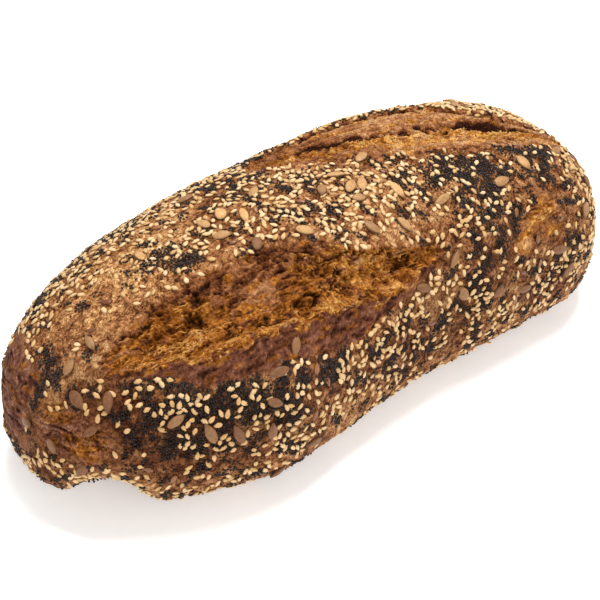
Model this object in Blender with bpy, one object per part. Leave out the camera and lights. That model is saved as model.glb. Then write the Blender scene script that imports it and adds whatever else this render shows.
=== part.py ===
"""Long oval loaf of brown bread with a seeded crust and two slanting cuts that burst open in the oven.

The loaf lies along X and rests on its flat base at Z = 0, with the origin under its middle. The side
at -Y is the front. The end at -X is the narrow one, with the torn end of the rolled dough's seam.
Sunflower kernels and sesame seeds stick out of the crust and are one solid with it.
"""

import math
import random

import bmesh
import bpy
import numpy as np
from mathutils import Matrix, Vector, noise
from mathutils.bvhtree import BVHTree

MM = 0.001

# Size of the dough without its seeds
LENGTH = 279.5 * MM
WIDTH = 125.5 * MM
HEIGHT = 89 * MM
BELLY = 0.36 * HEIGHT

# How blunt the ends are, seen from above, from the side and at the base: 2 is an ellipse, more is squarer
PLAN_BLUNT = {"left": 2.5, "right": 2.95}
SIDE_BLUNT = {"left": 2.3, "right": 2.8}
BASE_BLUNT = {"left": 4.4, "right": 7.0}
UPPER_ROUND = 2.3
LOWER_ROUND = 3.05
BASE_FLATTENING = 2.1 * MM

# The tucked seam leaves a gap under the front of the left end: middle, reach and depth in mm
SEAM_GAP = {"x": -120, "y": -25, "reach": 15, "depth": 9.8}

# Swellings of the outline: place along the half length, share of the size there, spread
FRONT_SWELLINGS = ((-0.85, -0.027, 0.24), (-0.50, 0.066, 0.24), (-0.15, -0.063, 0.24), (0.20, -0.126, 0.24),
                   (0.55, -0.047, 0.24), (0.88, 0.10, 0.24))
HEIGHT_SWELLINGS = ((-0.70, -0.025, 0.30), (0.20, 0.021, 0.24), (0.88, 0.029, 0.24))

# Cut lines: (x in mm, angle of the middle, half opening), angles in degrees from the crest, front negative
FRONT_CUT = ((-118, -27, 0), (-112, -27, 5), (-103, -26.8, 8.8), (-90, -28, 14), (-77, -29.3, 14.8),
             (-55, -31, 15.5), (-37, -34.3, 16.5), (-23, -40.3, 14.7), (-12, -46.3, 12.7), (2, -51.5, 9.9),
             (16, -54.1, 5.8), (27, -55.5, 2.4), (36, -56.5, 0))
BACK_CUT = ((-16, 25, 0), (-8, 25, 5), (4, 23, 12), (24, 17, 14.5), (48, 12.5, 17.5), (66, 7.5, 17.5),
            (79, 2.5, 15.5), (91, -4, 12.5), (106, -10, 10), (118, -17, 7.5), (130, -26, 0))
GAP_PLACE = ((-16, -0.1), (4, -0.34), (24, -0.4), (40, -0.48), (56, -0.44), (70, -0.34), (82, -0.26), (91, -0.16),
             (99, -0.08), (108, -0.04), (130, 0.05))
# Relief across a cut: (place, height in mm); place -1 is the lip towards the front and 1 the lip behind
FRONT_LEFT_RELIEF = ((-1.7, 0), (-1.3, 1.3), (-1.06, 2.4), (-0.97, 2.0), (-0.87, -1.2), (-0.72, -3.2),
                     (-0.5, -3.4), (-0.2, -6.0), (0.05, -6.8), (0.35, -5.2), (0.7, -3.4), (0.95, -1.6),
                     (1.15, -0.5), (1.5, 0))
FRONT_RIGHT_RELIEF = ((-1.6, 0), (-1.2, 0.6), (-1.0, 1.2), (-0.86, -0.6), (-0.5, -4.4), (-0.1, -5.8),
                      (0.3, -4.7), (0.65, -2.9), (0.9, -1.1), (1.05, 0.2), (1.2, 0.5), (1.7, 0))
BACK_RELIEF = ((-1.6, 0), (-1.2, 0.4), (-1.0, 0.3), (-0.7, -0.6), (-0.35, -1.2), (-0.1, -1.4),
               (-0.02, -5.5), (0.06, -7.5), (0.16, -5.4), (0.35, -2.3), (0.62, -0.9), (0.86, -0.9),
               (0.94, -1.2), (1.02, 0.3), (1.2, 0.7), (1.6, 0))
FRONT_CHANGE = (-40 * MM, -16 * MM)
FULL_DEPTH_OPENING = 14.0
LIP_OVERHANG = 0.6 * MM
LEAST_OPENING = 4.5

# Mesh of the dough before and after it is thinned out
CELLS_ACROSS = 44
CELLS_ALONG = 96
END_CAP_SHARE = 0.27
BODY_TRIANGLES = 5500

# Places round the grid, in degrees, that follow the four lips of the cuts, and the rows near the base
LIP_ROWS = (-62, -26, 2, 40)
ROWS_BELOW = (-128, 118)

# Seeds: length, width and thickness, how far apart they lie, and how many places are tried
KERNEL_SIZE = (9.2 * MM, 4.6 * MM, 2.6 * MM)
SESAME_SIZE = (3.4 * MM, 2.2 * MM, 1.3 * MM)
KERNEL_GAP = 25.0 * MM
SESAME_GAP = 11.0 * MM
KERNEL_TRIES = 420
SESAME_TRIES = 900
SEED_SUNK = 0.26
RANDOM_SEED = 23


def curve_through(knots, column, x):
    """Smooth values of one column of a knot list at the places x, held level past its ends."""
    places = np.array([k[0] for k in knots], float)
    values = np.array([k[column] for k in knots], float)
    slopes = np.gradient(values, places)
    slopes[0] = slopes[-1] = 0.0
    x = np.clip(x, places[0], places[-1])
    i = np.clip(np.searchsorted(places, x, side="right") - 1, 0, len(places) - 2)
    step = places[i + 1] - places[i]
    t = (x - places[i]) / step
    start = (1 + 2 * t) * (1 - t) ** 2 * values[i] + t * (1 - t) ** 2 * step * slopes[i]
    return start + t ** 2 * (3 - 2 * t) * values[i + 1] + t ** 2 * (t - 1) * step * slopes[i + 1]


def smooth_step(low, high, x):
    t = np.clip((x - low) / (high - low), 0.0, 1.0)
    return t * t * (3 - 2 * t)


def swell(swellings, u):
    return sum(share * np.exp(-((u - place) / spread) ** 2) for place, share, spread in swellings)


def end_profile(u, blunt):
    """Share of the full width or height that is left at u, from -1 at the left tip to 1 at the right."""
    power = np.where(u < 0, blunt["left"], blunt["right"])
    return np.clip(1 - np.abs(u) ** power, 0, 1) ** (1 / power)


def dough_surface(u, angle):
    """Points of the plain dough without cuts, at u along it and an angle round it from the crest."""
    side, rise = np.sin(angle), np.cos(angle)
    rounding = np.where(rise >= 0, 2 / UPPER_ROUND, 2 / LOWER_ROUND)
    across = np.sign(side) * np.abs(side) ** rounding
    up = np.abs(rise) ** rounding
    width = WIDTH / 2 * end_profile(u, PLAN_BLUNT)
    width = width * (1 + np.where(side < 0, swell(FRONT_SWELLINGS, u), 0.0))
    above = (HEIGHT - BELLY) * end_profile(u, SIDE_BLUNT) * (1 + swell(HEIGHT_SWELLINGS, u))
    below = (BELLY + BASE_FLATTENING) * end_profile(u, BASE_BLUNT)
    z = BELLY + np.where(rise >= 0, above * up, -below * up)
    return np.stack([u * LENGTH / 2, width * across, z], axis=-1)


def along_to_u(along):
    """Turns an even step along the dough's outline, -1 to 1, into u, so that the ends get even cells too."""
    u = np.linspace(0, 1, 2000)
    found = np.empty_like(along)
    for sign in (-1, 1):
        radius = WIDTH / 2 * end_profile(sign * u, PLAN_BLUNT)
        run = np.concatenate([[0], np.cumsum(np.hypot(np.diff(u) * LENGTH / 2, np.diff(radius)))])
        here = along * sign >= 0
        found[here] = sign * np.interp(np.abs(along[here]), run / run[-1], u)
    return found


def cut_middle(cut, x):
    """Angle of the middle of a cut and its half opening at the places x, in degrees."""
    return curve_through(cut, 1, x / MM), curve_through(cut, 2, x / MM)


def place_on_cut(cut, x, angle):
    """Where a point lies across a cut (-1 and 1 are its lips) and how wide the cut is there, in degrees."""
    middle, half = cut_middle(cut, x)
    return (np.degrees(angle) - middle) / np.maximum(half, 0.5), np.where(half > 0.5, half, 0.0)


def row_angle(x, row):
    """Bends the rows of the grid, in degrees, so that four of them run along the lips of the cuts."""
    ends = []
    for cut in (FRONT_CUT, BACK_CUT):
        middle, half = cut_middle(cut, x)
        half = np.maximum(half, LEAST_OPENING)
        ends += [middle - half, middle + half]
    level = np.ones_like(x)
    rows = (-180, ROWS_BELOW[0]) + LIP_ROWS + (ROWS_BELOW[1], 180)
    angles = [-180 * level, -116 * level] + ends + [112 * level, 180 * level]
    found = np.empty_like(row)
    for i in range(len(rows) - 1):
        share = (row - rows[i]) / (rows[i + 1] - rows[i])
        here = (share >= 0) & (share <= 1)
        found = np.where(here, angles[i] + share * (angles[i + 1] - angles[i]), found)
    return found


def cut_relief(x, angle):
    """Height of the two burst cuts above the plain dough, in metres."""
    across, opening = place_on_cut(FRONT_CUT, x, angle)
    to_right = smooth_step(*FRONT_CHANGE, x)
    front = (1 - to_right) * curve_through(FRONT_LEFT_RELIEF, 1, across)
    front = front + to_right * curve_through(FRONT_RIGHT_RELIEF, 1, across)
    front = front * np.clip(opening / FULL_DEPTH_OPENING, 0, 1)
    across, opening = place_on_cut(BACK_CUT, x, angle)
    gap = curve_through(GAP_PLACE, 1, x / MM)
    from_gap = np.where(across < gap, (across - gap) / (1 + gap), (across - gap) / (1 - gap))
    back = curve_through(BACK_RELIEF, 1, from_gap)
    back = back * np.clip(opening / FULL_DEPTH_OPENING, 0, 1)
    return (front + back) * MM


def lip_shift(x, angle):
    """How far the hind lips lean over their cuts, in metres towards the front."""
    across, opening = place_on_cut(FRONT_CUT, x, angle)
    front = smooth_step(*FRONT_CHANGE, x) * np.exp(-((across - 1.02) / 0.2) ** 2) * smooth_step(3, 9, opening)
    across, opening = place_on_cut(BACK_CUT, x, angle)
    back = 0.6 * np.exp(-((across - 1.02) / 0.15) ** 2) * smooth_step(3, 9, opening)
    return LIP_OVERHANG * (front + back)


def torn_share(x, angle):
    """1 in the torn crumb of a cut and 0 on the crust."""
    shares = []
    for cut in (FRONT_CUT, BACK_CUT):
        across, opening = place_on_cut(cut, x, angle)
        shares.append((1 - smooth_step(0.85, 1.08, np.abs(across))) * (opening > 0))
    return np.maximum(*shares)


def mound(a, b, centre, spread, power=2):
    """A hump of height 1 over the plane of a and b, in mm; a higher power makes its sides steeper."""
    reach = np.hypot((a - centre[0]) / spread[0], (b - centre[1]) / spread[1])
    return np.exp(-reach ** power)


def end_relief(position):
    """The end at -X: the fold of skin, the torn hollow with its two bulges and pit, and the seam's gap."""
    x, y, z = position.T / MM
    at_end = 1 - smooth_step(-126, -112, x)
    fold_z = 52 - 0.024 * (y + 2) ** 2
    fold = np.exp(-((z - fold_z) / 2.2) ** 2) * smooth_step(-8, 0, y) * (1 - smooth_step(16, 26, y))
    hollow = mound(y, z, (-22, 42), (17, 9.5), 4)
    bulges = 2.6 * mound(y, z, (-30, 38), (7, 7)) + 1.8 * mound(y, z, (-9, 46), (6, 5))
    pit = mound(y, z, (-15, 40.5), (3.0, 2.2))
    seam_gap = mound(x, y, (SEAM_GAP["x"], SEAM_GAP["y"]), (SEAM_GAP["reach"],) * 2, 4)
    seam_gap = SEAM_GAP["depth"] * seam_gap * (1 - smooth_step(14, 34, z))
    return (at_end * (bulges - 1.5 * fold - 2.4 * hollow - 2.6 * pit) - seam_gap) * MM


def uneven(points, torn):
    """Slow waves of the crust, and the coarse crags of the torn crumb."""
    heights = np.empty(len(points))
    for i, point in enumerate(points):
        slow = noise.noise(Vector(point) / (42 * MM)) * 1.2 + noise.noise(Vector(point) / (15 * MM)) * 0.45
        crag = abs(noise.noise(Vector((point[0] / (11 * MM), point[1] / (6.5 * MM), point[2] / (6.5 * MM)))))
        heights[i] = slow + torn[i] * (0.9 - 4.2 * crag)
    return heights * MM


def gridded_box():
    """A cube of side 2 with a regular grid on its faces, finer along X."""
    bm = bmesh.new()
    bmesh.ops.create_cube(bm, size=2)
    for along_x, cuts in ((True, CELLS_ALONG - 1), (False, CELLS_ACROSS - 1)):
        edges = [e for e in bm.edges if (abs(e.verts[0].co.x - e.verts[1].co.x) > 1e-6) == along_x]
        bmesh.ops.subdivide_edges(bm, edges=edges, cuts=cuts, use_grid_fill=True)
    return bm


def chart_of(box_points):
    """Turns points of the gridded box into u along the dough and an angle round it."""
    x, y, z = box_points.T
    reach = np.maximum(np.maximum(np.abs(y), np.abs(z)), 1e-9)
    on_top, below = z >= reach - 1e-6, z <= -reach + 1e-6
    row = np.where(y > 0, 90 - 45 * z / reach, -90 + 45 * z / reach)
    row = np.where(below, 180 - 45 * y / reach, row)
    row = np.where(on_top, 45 * y / reach, row)
    row = np.where(row > 180, row - 360, row)
    on_end = np.abs(x) > 1 - 1e-6
    along = np.where(on_end, np.sign(x) * (1 - END_CAP_SHARE * reach), x * (1 - END_CAP_SHARE))
    u = along_to_u(along)
    return u, np.radians(row_angle(u * LENGTH / 2, row))


def moved(bm, points):
    """Puts the mesh at the points and returns the normals it then has."""
    for vert, point in zip(bm.verts, points):
        vert.co = point
    bm.normal_update()
    return np.array([v.normal for v in bm.verts])


def dough_mesh():
    """The whole loaf without seeds, at full resolution."""
    bm = gridded_box()
    u, angle = chart_of(np.array([v.co for v in bm.verts]))
    points = dough_surface(u, angle)
    normals = moved(bm, points)
    x = points[:, 0]
    torn = torn_share(x, angle)
    height = cut_relief(x, angle) + end_relief(points) + uneven(points, torn)
    sideways = np.cross(normals, (1.0, 0.0, 0.0))
    points = points + normals * height[:, None] - sideways * lip_shift(x, angle)[:, None]
    points[:, 2] = np.maximum(points[:, 2], 0.0)
    moved(bm, points)
    mesh = bpy.data.meshes.new("loaf")
    bm.to_mesh(mesh)
    bm.free()
    return mesh


def applied(obj):
    """Puts the modifiers of an object into its mesh."""
    graph = bpy.context.evaluated_depsgraph_get()
    mesh = bpy.data.meshes.new_from_object(obj.evaluated_get(graph))
    obj.modifiers.clear()
    obj.data = mesh


def thin_out(obj, triangles):
    """Keeps the relief and spends few triangles on the level parts."""
    obj.data.calc_loop_triangles()
    decimate = obj.modifiers.new("thin_out", "DECIMATE")
    decimate.ratio = triangles / len(obj.data.loop_triangles)
    applied(obj)


def seed_mesh(name, size, segments, rings):
    """A flat drop with its tip at +X, from a coarse ball."""
    bm = bmesh.new()
    bmesh.ops.create_uvsphere(bm, u_segments=segments, v_segments=rings, radius=0.5,
                              matrix=Matrix.Rotation(math.pi / 2, 4, "Y"))
    length, width, thickness = size
    for vert in bm.verts:
        taper = 1 - 0.42 * (vert.co.x + 0.5) ** 2
        vert.co = Vector((vert.co.x * length, vert.co.y * width * taper, vert.co.z * thickness * taper))
    mesh = bpy.data.meshes.new(name)
    bm.to_mesh(mesh)
    bm.free()
    return mesh


def bare(x, angle, point):
    """True where no seed lies: in and round the cuts, on the torn end, near the base."""
    spot = (np.array([x]), np.array([angle]))
    for cut in (FRONT_CUT, BACK_CUT):
        across, opening = place_on_cut(cut, *spot)
        if opening[0] > 0 and abs(across[0]) < 1 + 4.0 / opening[0]:
            return True
    torn_end = x < -122 * MM and -36 * MM < point[1] < -18 * MM and 32 * MM < point[2] < 48 * MM
    return torn_end or point[2] < 7 * MM


def scattered(draw, gap, tries, taken):
    """Evenly spread places on the crust: tries random places and keeps those clear of the earlier ones."""
    kept = []
    for _ in range(tries):
        u = draw.uniform(-0.99, 0.99)
        angle = draw.uniform(-2.2, 2.2)
        point = dough_surface(np.array([u]), np.array([angle]))[0]
        turn = draw.uniform(0, 2 * math.pi)
        if bare(u * LENGTH / 2, angle, point):
            continue
        spot = Vector(point)
        if all((spot - other).length > (gap + room) / 2 for other, room in taken):
            taken.append((spot, gap))
            kept.append((spot, turn))
    return kept


def seed_objects(mesh, places, surface, thickness, collection):
    """One object for each place, laid flat on the crust and partly sunk into it."""
    for number, (spot, turn) in enumerate(places):
        point, normal, _, _ = surface.find_nearest(spot)
        lie = normal.to_track_quat("Z", "Y").to_matrix().to_4x4() @ Matrix.Rotation(turn, 4, "Z")
        obj = bpy.data.objects.new(f"{mesh.name}_{number:03d}", mesh)
        obj.matrix_world = Matrix.Translation(point + normal * thickness * (0.5 - SEED_SUNK)) @ lie
        collection.objects.link(obj)


def fuse(obj, collection):
    """Joins every object of the collection to obj, then removes them."""
    union = obj.modifiers.new("fuse", "BOOLEAN")
    union.operation = "UNION"
    union.operand_type = "COLLECTION"
    union.collection = collection
    union.solver = "MANIFOLD"
    applied(obj)
    for other in list(collection.objects):
        bpy.data.objects.remove(other)
    bpy.data.collections.remove(collection)


def drop_scraps(obj):
    """Keeps the largest body of the joined mesh, in triangles, in case a seed only touched the crust."""
    bm = bmesh.new()
    bm.from_mesh(obj.data)
    bmesh.ops.triangulate(bm, faces=bm.faces)
    left = set(bm.verts)
    bodies = []
    while left:
        body, edge_of_search = set(), [left.pop()]
        while edge_of_search:
            vert = edge_of_search.pop()
            body.add(vert)
            for edge in vert.link_edges:
                other = edge.other_vert(vert)
                if other in left:
                    left.remove(other)
                    edge_of_search.append(other)
        bodies.append(body)
    bodies.sort(key=len)
    for scrap in bodies[:-1]:
        bmesh.ops.delete(bm, geom=list(scrap), context="VERTS")
    bm.to_mesh(obj.data)
    bm.free()


def crust_material():
    material = bpy.data.materials.new("seeded_crust")
    material.use_nodes = True
    shader = material.node_tree.nodes["Principled BSDF"]
    shader.inputs["Base Color"].default_value = (0.235, 0.105, 0.040, 1)
    shader.inputs["Roughness"].default_value = 0.6
    shader.inputs["Metallic"].default_value = 0.0
    return material


def main():
    for old in list(bpy.data.objects):
        bpy.data.objects.remove(old)
    parts = bpy.data.collections.new("seeded_loaf")
    bpy.context.scene.collection.children.link(parts)
    loaf = bpy.data.objects.new("loaf", dough_mesh())
    parts.objects.link(loaf)
    thin_out(loaf, BODY_TRIANGLES)

    seeds = bpy.data.collections.new("seeds")
    bpy.context.scene.collection.children.link(seeds)
    graph = bpy.context.evaluated_depsgraph_get()
    surface = BVHTree.FromObject(loaf, graph)
    draw = random.Random(RANDOM_SEED)
    taken = []
    kernels = scattered(draw, KERNEL_GAP, KERNEL_TRIES, taken)
    sesames = scattered(draw, SESAME_GAP, SESAME_TRIES, taken)
    seed_objects(seed_mesh("kernel", KERNEL_SIZE, 6, 4), kernels, surface, KERNEL_SIZE[2], seeds)
    seed_objects(seed_mesh("sesame", SESAME_SIZE, 5, 4), sesames, surface, SESAME_SIZE[2], seeds)
    fuse(loaf, seeds)
    drop_scraps(loaf)
    loaf.data.materials.clear()
    loaf.data.materials.append(crust_material())
    loaf.data.shade_smooth()
    loaf.data.set_sharp_from_angle(angle=math.radians(40))
    print("kernels", len(kernels), "sesame", len(sesames), "triangles", len(loaf.data.polygons))


main()
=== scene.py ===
# %% [markdown]
# # A seeded oval loaf
#
# A long brown loaf, about 28 cm, that was rolled in sesame, poppy and sunflower seeds and cut twice
# along the top. In the oven the cuts burst open, so there are three kinds of surface to make: seeded
# crust, smooth skin that stretched beside the cuts, and the torn golden crumb inside them.
#
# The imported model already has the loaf's size and main form. This lesson rebuilds the same form from
# the same named values with a much finer mesh, and then adds what is too small for a solid.

# %% Load the frame
import math
import time

import bmesh
import bpy
import numpy as np
from mathutils import Matrix, Vector, noise


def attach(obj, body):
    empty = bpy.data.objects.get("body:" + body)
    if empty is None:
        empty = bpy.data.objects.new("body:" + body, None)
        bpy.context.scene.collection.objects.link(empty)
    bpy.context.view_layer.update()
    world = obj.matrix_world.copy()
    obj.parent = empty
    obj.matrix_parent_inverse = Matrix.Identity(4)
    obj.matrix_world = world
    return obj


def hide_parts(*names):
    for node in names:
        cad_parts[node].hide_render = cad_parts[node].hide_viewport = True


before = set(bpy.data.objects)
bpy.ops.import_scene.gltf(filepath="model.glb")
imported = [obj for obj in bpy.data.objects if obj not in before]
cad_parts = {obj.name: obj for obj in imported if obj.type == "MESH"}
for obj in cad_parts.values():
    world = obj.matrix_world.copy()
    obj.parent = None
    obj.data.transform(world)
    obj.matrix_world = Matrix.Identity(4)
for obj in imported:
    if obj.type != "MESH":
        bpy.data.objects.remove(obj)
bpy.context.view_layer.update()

MM = 0.001
start_time = time.time()

# %% [markdown]
# ## Camera
#
# The loaf is seen from above its front left, with a long lens: its far end is only a little smaller
# than the near one. An object of known size fixes the distance, so the sesame seeds, which look about
# a quarter larger at the near end, gave the distance of 65 cm from the middle of the loaf.

# %% Camera
CAMERA_PLACE = (-0.33563, -0.40297, 0.42401)
CAMERA_AIM = (-0.00692, -0.00072, 0.03320)
CAMERA_LENS = 93.56


def add_object(name, data):
    """An object that holds the data, in the scene."""
    made = bpy.data.objects.new(name, data)
    bpy.context.scene.collection.objects.link(made)
    return made


def look_at(item, place, aim):
    """Puts a camera or a light at a place and turns it to a point."""
    item.location = place
    item.rotation_euler = (Vector(aim) - Vector(place)).to_track_quat("-Z", "Y").to_euler()


camera = add_object("camera", bpy.data.cameras.new("camera"))
camera.data.sensor_width = 36
camera.data.lens = CAMERA_LENS
camera.data.clip_start = 0.01
look_at(camera, CAMERA_PLACE, CAMERA_AIM)
bpy.context.scene.camera = camera
print("camera", CAMERA_PLACE, "lens", CAMERA_LENS)

# %% [markdown]
# ## Nodes, and the floor's paint
#
# Every material here is a small net of nodes. One helper makes a node, sets its options, and either
# fills or links each input, so that a material below reads as a list of what goes into what. The first
# material is the floor's: white, with a little light of its own, which keeps the shadow on it faint.

# %% Nodes and the floor's paint
FLOOR_GLOW = 0.34


def add_node(tree, kind, inputs=None, **options):
    """Makes a node. An input's value may be a socket of another node, which is then linked."""
    made = tree.nodes.new(kind)
    for name, value in options.items():
        setattr(made, name, value)
    for name, value in (inputs or {}).items():
        if isinstance(value, bpy.types.NodeSocket):
            tree.links.new(value, made.inputs[name])
        else:
            made.inputs[name].default_value = value
    return made


def new_material(name, roughness=0.5):
    """A material with its Principled BSDF, and the tree to build in."""
    material = bpy.data.materials.new(name)
    material.use_nodes = True
    shader = material.node_tree.nodes["Principled BSDF"]
    shader.inputs["Roughness"].default_value = roughness
    return material, material.node_tree, shader


floor_paint, _, floor_shader = new_material("floor_white", roughness=0.9)
floor_shader.inputs["Base Color"].default_value = (0.95, 0.95, 0.95, 1)
floor_shader.inputs["Specular IOR Level"].default_value = 0.2
floor_shader.inputs["Emission Color"].default_value = (1, 1, 1, 1)
floor_shader.inputs["Emission Strength"].default_value = FLOOR_GLOW
print("the floor's paint gives off", FLOOR_GLOW)

# %% [markdown]
# ## Floor and light
#
# The loaf stands on plain white under soft light. A panel high above the right end is the main light,
# because the crest and the right end are the brightest parts and the front left is in half shade. A
# weaker panel in front keeps the lower side readable, and a white surround does the rest.

# %% Floor and light
FLOOR_RADIUS = 4.0
FLOOR_DROP = 0.2 * MM
SURROUND_STRENGTH = 0.50

floor_mesh = bmesh.new()
bmesh.ops.create_circle(floor_mesh, cap_ends=True, segments=96, radius=FLOOR_RADIUS)
bmesh.ops.translate(floor_mesh, vec=(0, 0, -FLOOR_DROP), verts=floor_mesh.verts)
floor = add_object("floor", bpy.data.meshes.new("floor"))
floor_mesh.to_mesh(floor.data)
floor_mesh.free()
floor.data.materials.append(floor_paint)


def soft_panel(name, place, aim, size, power, colour):
    """A square area light that looks at a point."""
    lamp = bpy.data.lights.new(name, "AREA")
    lamp.shape = "SQUARE"
    lamp.size = size
    lamp.energy = power
    lamp.color = colour
    look_at(add_object(name, lamp), place, aim)


soft_panel("key_panel", (0.30, 0.15, 1.45), (0.02, 0, 0.05), 0.6, 27, (1.0, 0.985, 0.96))
soft_panel("front_panel", (-0.60, -1.2, 0.8), (0, 0, 0.03), 1.0, 10, (1.0, 0.98, 0.95))

surround = bpy.data.worlds.new("white_surround")
surround.use_nodes = True
background = surround.node_tree.nodes["Background"]
background.inputs["Color"].default_value = (1, 1, 1, 1)
background.inputs["Strength"].default_value = SURROUND_STRENGTH
bpy.context.scene.world = surround
bpy.context.scene.view_settings.view_transform = "Standard"
print("two panels and a white surround")

# %% [markdown]
# ## The form of the dough
#
# A loaf like this is an oval seen from above, from the side and in section, but a squarer oval than an
# ellipse: a superellipse. Its ends are blunter than an ellipse's, it is flat below, and it swells and
# narrows a little along the front, because the dough was rolled by hand. Two numbers say where a point
# of the surface lies: `u` along the loaf, from -1 to 1, and an angle round it, with 0 on the crest and
# the front negative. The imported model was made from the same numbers.

# %% Sizes of the dough
LENGTH = 279.5 * MM
WIDTH = 125.5 * MM
HEIGHT = 89 * MM
BELLY = 0.36 * HEIGHT
PLAN_BLUNT = {"left": 2.5, "right": 2.95}
SIDE_BLUNT = {"left": 2.3, "right": 2.8}
BASE_BLUNT = {"left": 4.4, "right": 7.0}
UPPER_ROUND = 2.3
LOWER_ROUND = 3.05
BASE_FLATTENING = 2.1 * MM
FRONT_SWELLINGS = ((-0.85, -0.027, 0.24), (-0.50, 0.066, 0.24), (-0.15, -0.063, 0.24), (0.20, -0.126, 0.24),
                   (0.55, -0.047, 0.24), (0.88, 0.10, 0.24))
HEIGHT_SWELLINGS = ((-0.70, -0.025, 0.30), (0.20, 0.021, 0.24), (0.88, 0.029, 0.24))
print("dough in mm:", [round(side / MM, 1) for side in (LENGTH, WIDTH, HEIGHT)])


# %% Curves that the form is made of
def curve_through(knots, x, column=1):
    """Smooth values of one column of a knot list at the places x, held level past its ends."""
    places = np.array([k[0] for k in knots], float)
    values = np.array([k[column] for k in knots], float)
    slopes = np.gradient(values, places)
    slopes[0] = slopes[-1] = 0.0
    x = np.clip(x, places[0], places[-1])
    i = np.clip(np.searchsorted(places, x, side="right") - 1, 0, len(places) - 2)
    step = places[i + 1] - places[i]
    t = (x - places[i]) / step
    start = (1 + 2 * t) * (1 - t) ** 2 * values[i] + t * (1 - t) ** 2 * step * slopes[i]
    return start + t ** 2 * (3 - 2 * t) * values[i + 1] + t ** 2 * (t - 1) * step * slopes[i + 1]


def smooth_step(low, high, x):
    """0 below low, 1 above high and a soft rise between them."""
    t = np.clip((x - low) / (high - low), 0.0, 1.0)
    return t * t * (3 - 2 * t)


def swell(swellings, u):
    """Sum of soft swellings, each a place along the loaf, a share and a spread."""
    return sum(share * np.exp(-((u - place) / spread) ** 2) for place, share, spread in swellings)


def end_profile(u, blunt):
    """Share of the full width or height that is left at u."""
    power = np.where(u < 0, blunt["left"], blunt["right"])
    return np.clip(1 - np.abs(u) ** power, 0, 1) ** (1 / power)


def dough_surface(u, angle):
    """Points of the plain dough without cuts."""
    side, rise = np.sin(angle), np.cos(angle)
    rounding = np.where(rise >= 0, 2 / UPPER_ROUND, 2 / LOWER_ROUND)
    across = np.sign(side) * np.abs(side) ** rounding
    up = np.abs(rise) ** rounding
    width = WIDTH / 2 * end_profile(u, PLAN_BLUNT)
    width = width * (1 + np.where(side < 0, swell(FRONT_SWELLINGS, u), 0.0))
    above = (HEIGHT - BELLY) * end_profile(u, SIDE_BLUNT) * (1 + swell(HEIGHT_SWELLINGS, u))
    below = (BELLY + BASE_FLATTENING) * end_profile(u, BASE_BLUNT)
    z = BELLY + np.where(rise >= 0, above * up, -below * up)
    return np.stack([u * LENGTH / 2, width * across, z], axis=-1)


middle_ring = dough_surface(np.zeros(360), np.radians(np.arange(360)))
girth = np.linalg.norm(np.diff(middle_ring, axis=0), axis=1).sum()
print("girth in the middle, mm:", round(float(girth) / MM))

# %% [markdown]
# ## The two cuts
#
# A baker's cut opens into a long bowl. The front one is widest: at its left the crumb lies in a shallow
# bowl behind a raised near lip, and at its right the bowl is steeper and its far lip leans over it a
# little. The back one is a torn gap between a golden near side and a roll of brown skin.
#
# Each cut is a line on the surface: its knots say, at a place along the loaf in mm, at which angle its
# middle lies and how far it opens to each side, in degrees. A relief gives the height in mm at a place
# across the cut, where -1 is the lip towards the front and 1 the lip behind.

# %% Lines and profiles of the cuts
FRONT_CUT = (
    (-118, -27, 0), (-112, -27, 5), (-103, -26.8, 8.8), (-90, -28, 14), (-77, -29.3, 14.8),
    (-55, -31, 15.5), (-37, -34.3, 16.5), (-23, -40.3, 14.7), (-12, -46.3, 12.7), (2, -51.5, 9.9),
    (16, -54.1, 5.8), (27, -55.5, 2.4), (36, -56.5, 0)
)
BACK_CUT = (
    (-16, 25, 0), (-8, 25, 5), (4, 23, 12), (24, 17, 14.5), (48, 12.5, 17.5), (66, 7.5, 17.5),
    (79, 2.5, 15.5), (91, -4, 12.5), (106, -10, 10), (118, -17, 7.5), (130, -26, 0)
)
GAP_PLACE = (
    (-16, -0.1), (4, -0.34), (24, -0.4), (40, -0.48), (56, -0.44), (70, -0.34), (82, -0.26), (91, -0.16),
    (99, -0.08), (108, -0.04), (130, 0.05)
)
FRONT_LEFT_RELIEF = (
    (-1.7, 0), (-1.3, 1.3), (-1.06, 2.4), (-0.97, 2.0), (-0.87, -1.2), (-0.72, -3.2), (-0.5, -3.4),
    (-0.2, -6.0), (0.05, -6.8), (0.35, -5.2), (0.7, -3.4), (0.95, -1.6), (1.15, -0.5), (1.5, 0)
)
FRONT_RIGHT_RELIEF = (
    (-1.6, 0), (-1.2, 0.6), (-1.0, 1.2), (-0.86, -0.6), (-0.5, -4.4), (-0.1, -5.8), (0.3, -4.7),
    (0.65, -2.9), (0.9, -1.1), (1.05, 0.2), (1.2, 0.5), (1.7, 0)
)
BACK_RELIEF = (
    (-1.6, 0), (-1.2, 0.4), (-1.0, 0.3), (-0.7, -0.6), (-0.35, -1.2), (-0.1, -1.4), (-0.02, -5.5),
    (0.06, -7.5), (0.16, -5.4), (0.35, -2.3), (0.62, -0.9), (0.86, -0.9), (0.94, -1.2), (1.02, 0.3),
    (1.2, 0.7), (1.6, 0)
)
FRONT_CHANGE = (-40 * MM, -16 * MM)
FULL_DEPTH_OPENING = 14.0
BACK_WANDER = 0.45

for name, cut in (("front", FRONT_CUT), ("back", BACK_CUT)):
    print(name, "cut runs from", cut[0][0], "to", cut[-1][0], "mm")


# %% Place and height on a cut
def cut_middle(cut, x):
    """Angle of the middle of a cut and its half opening at the places x, in degrees."""
    return curve_through(cut, x / MM), curve_through(cut, x / MM, 2)


def place_on_cut(cut, x, angle):
    """Where a point lies across a cut (-1 and 1 are its lips) and how wide the cut is there, in degrees."""
    middle, half = cut_middle(cut, x)
    return (np.degrees(angle) - middle) / np.maximum(half, 0.5), np.where(half > 0.5, half, 0.0)


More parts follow.
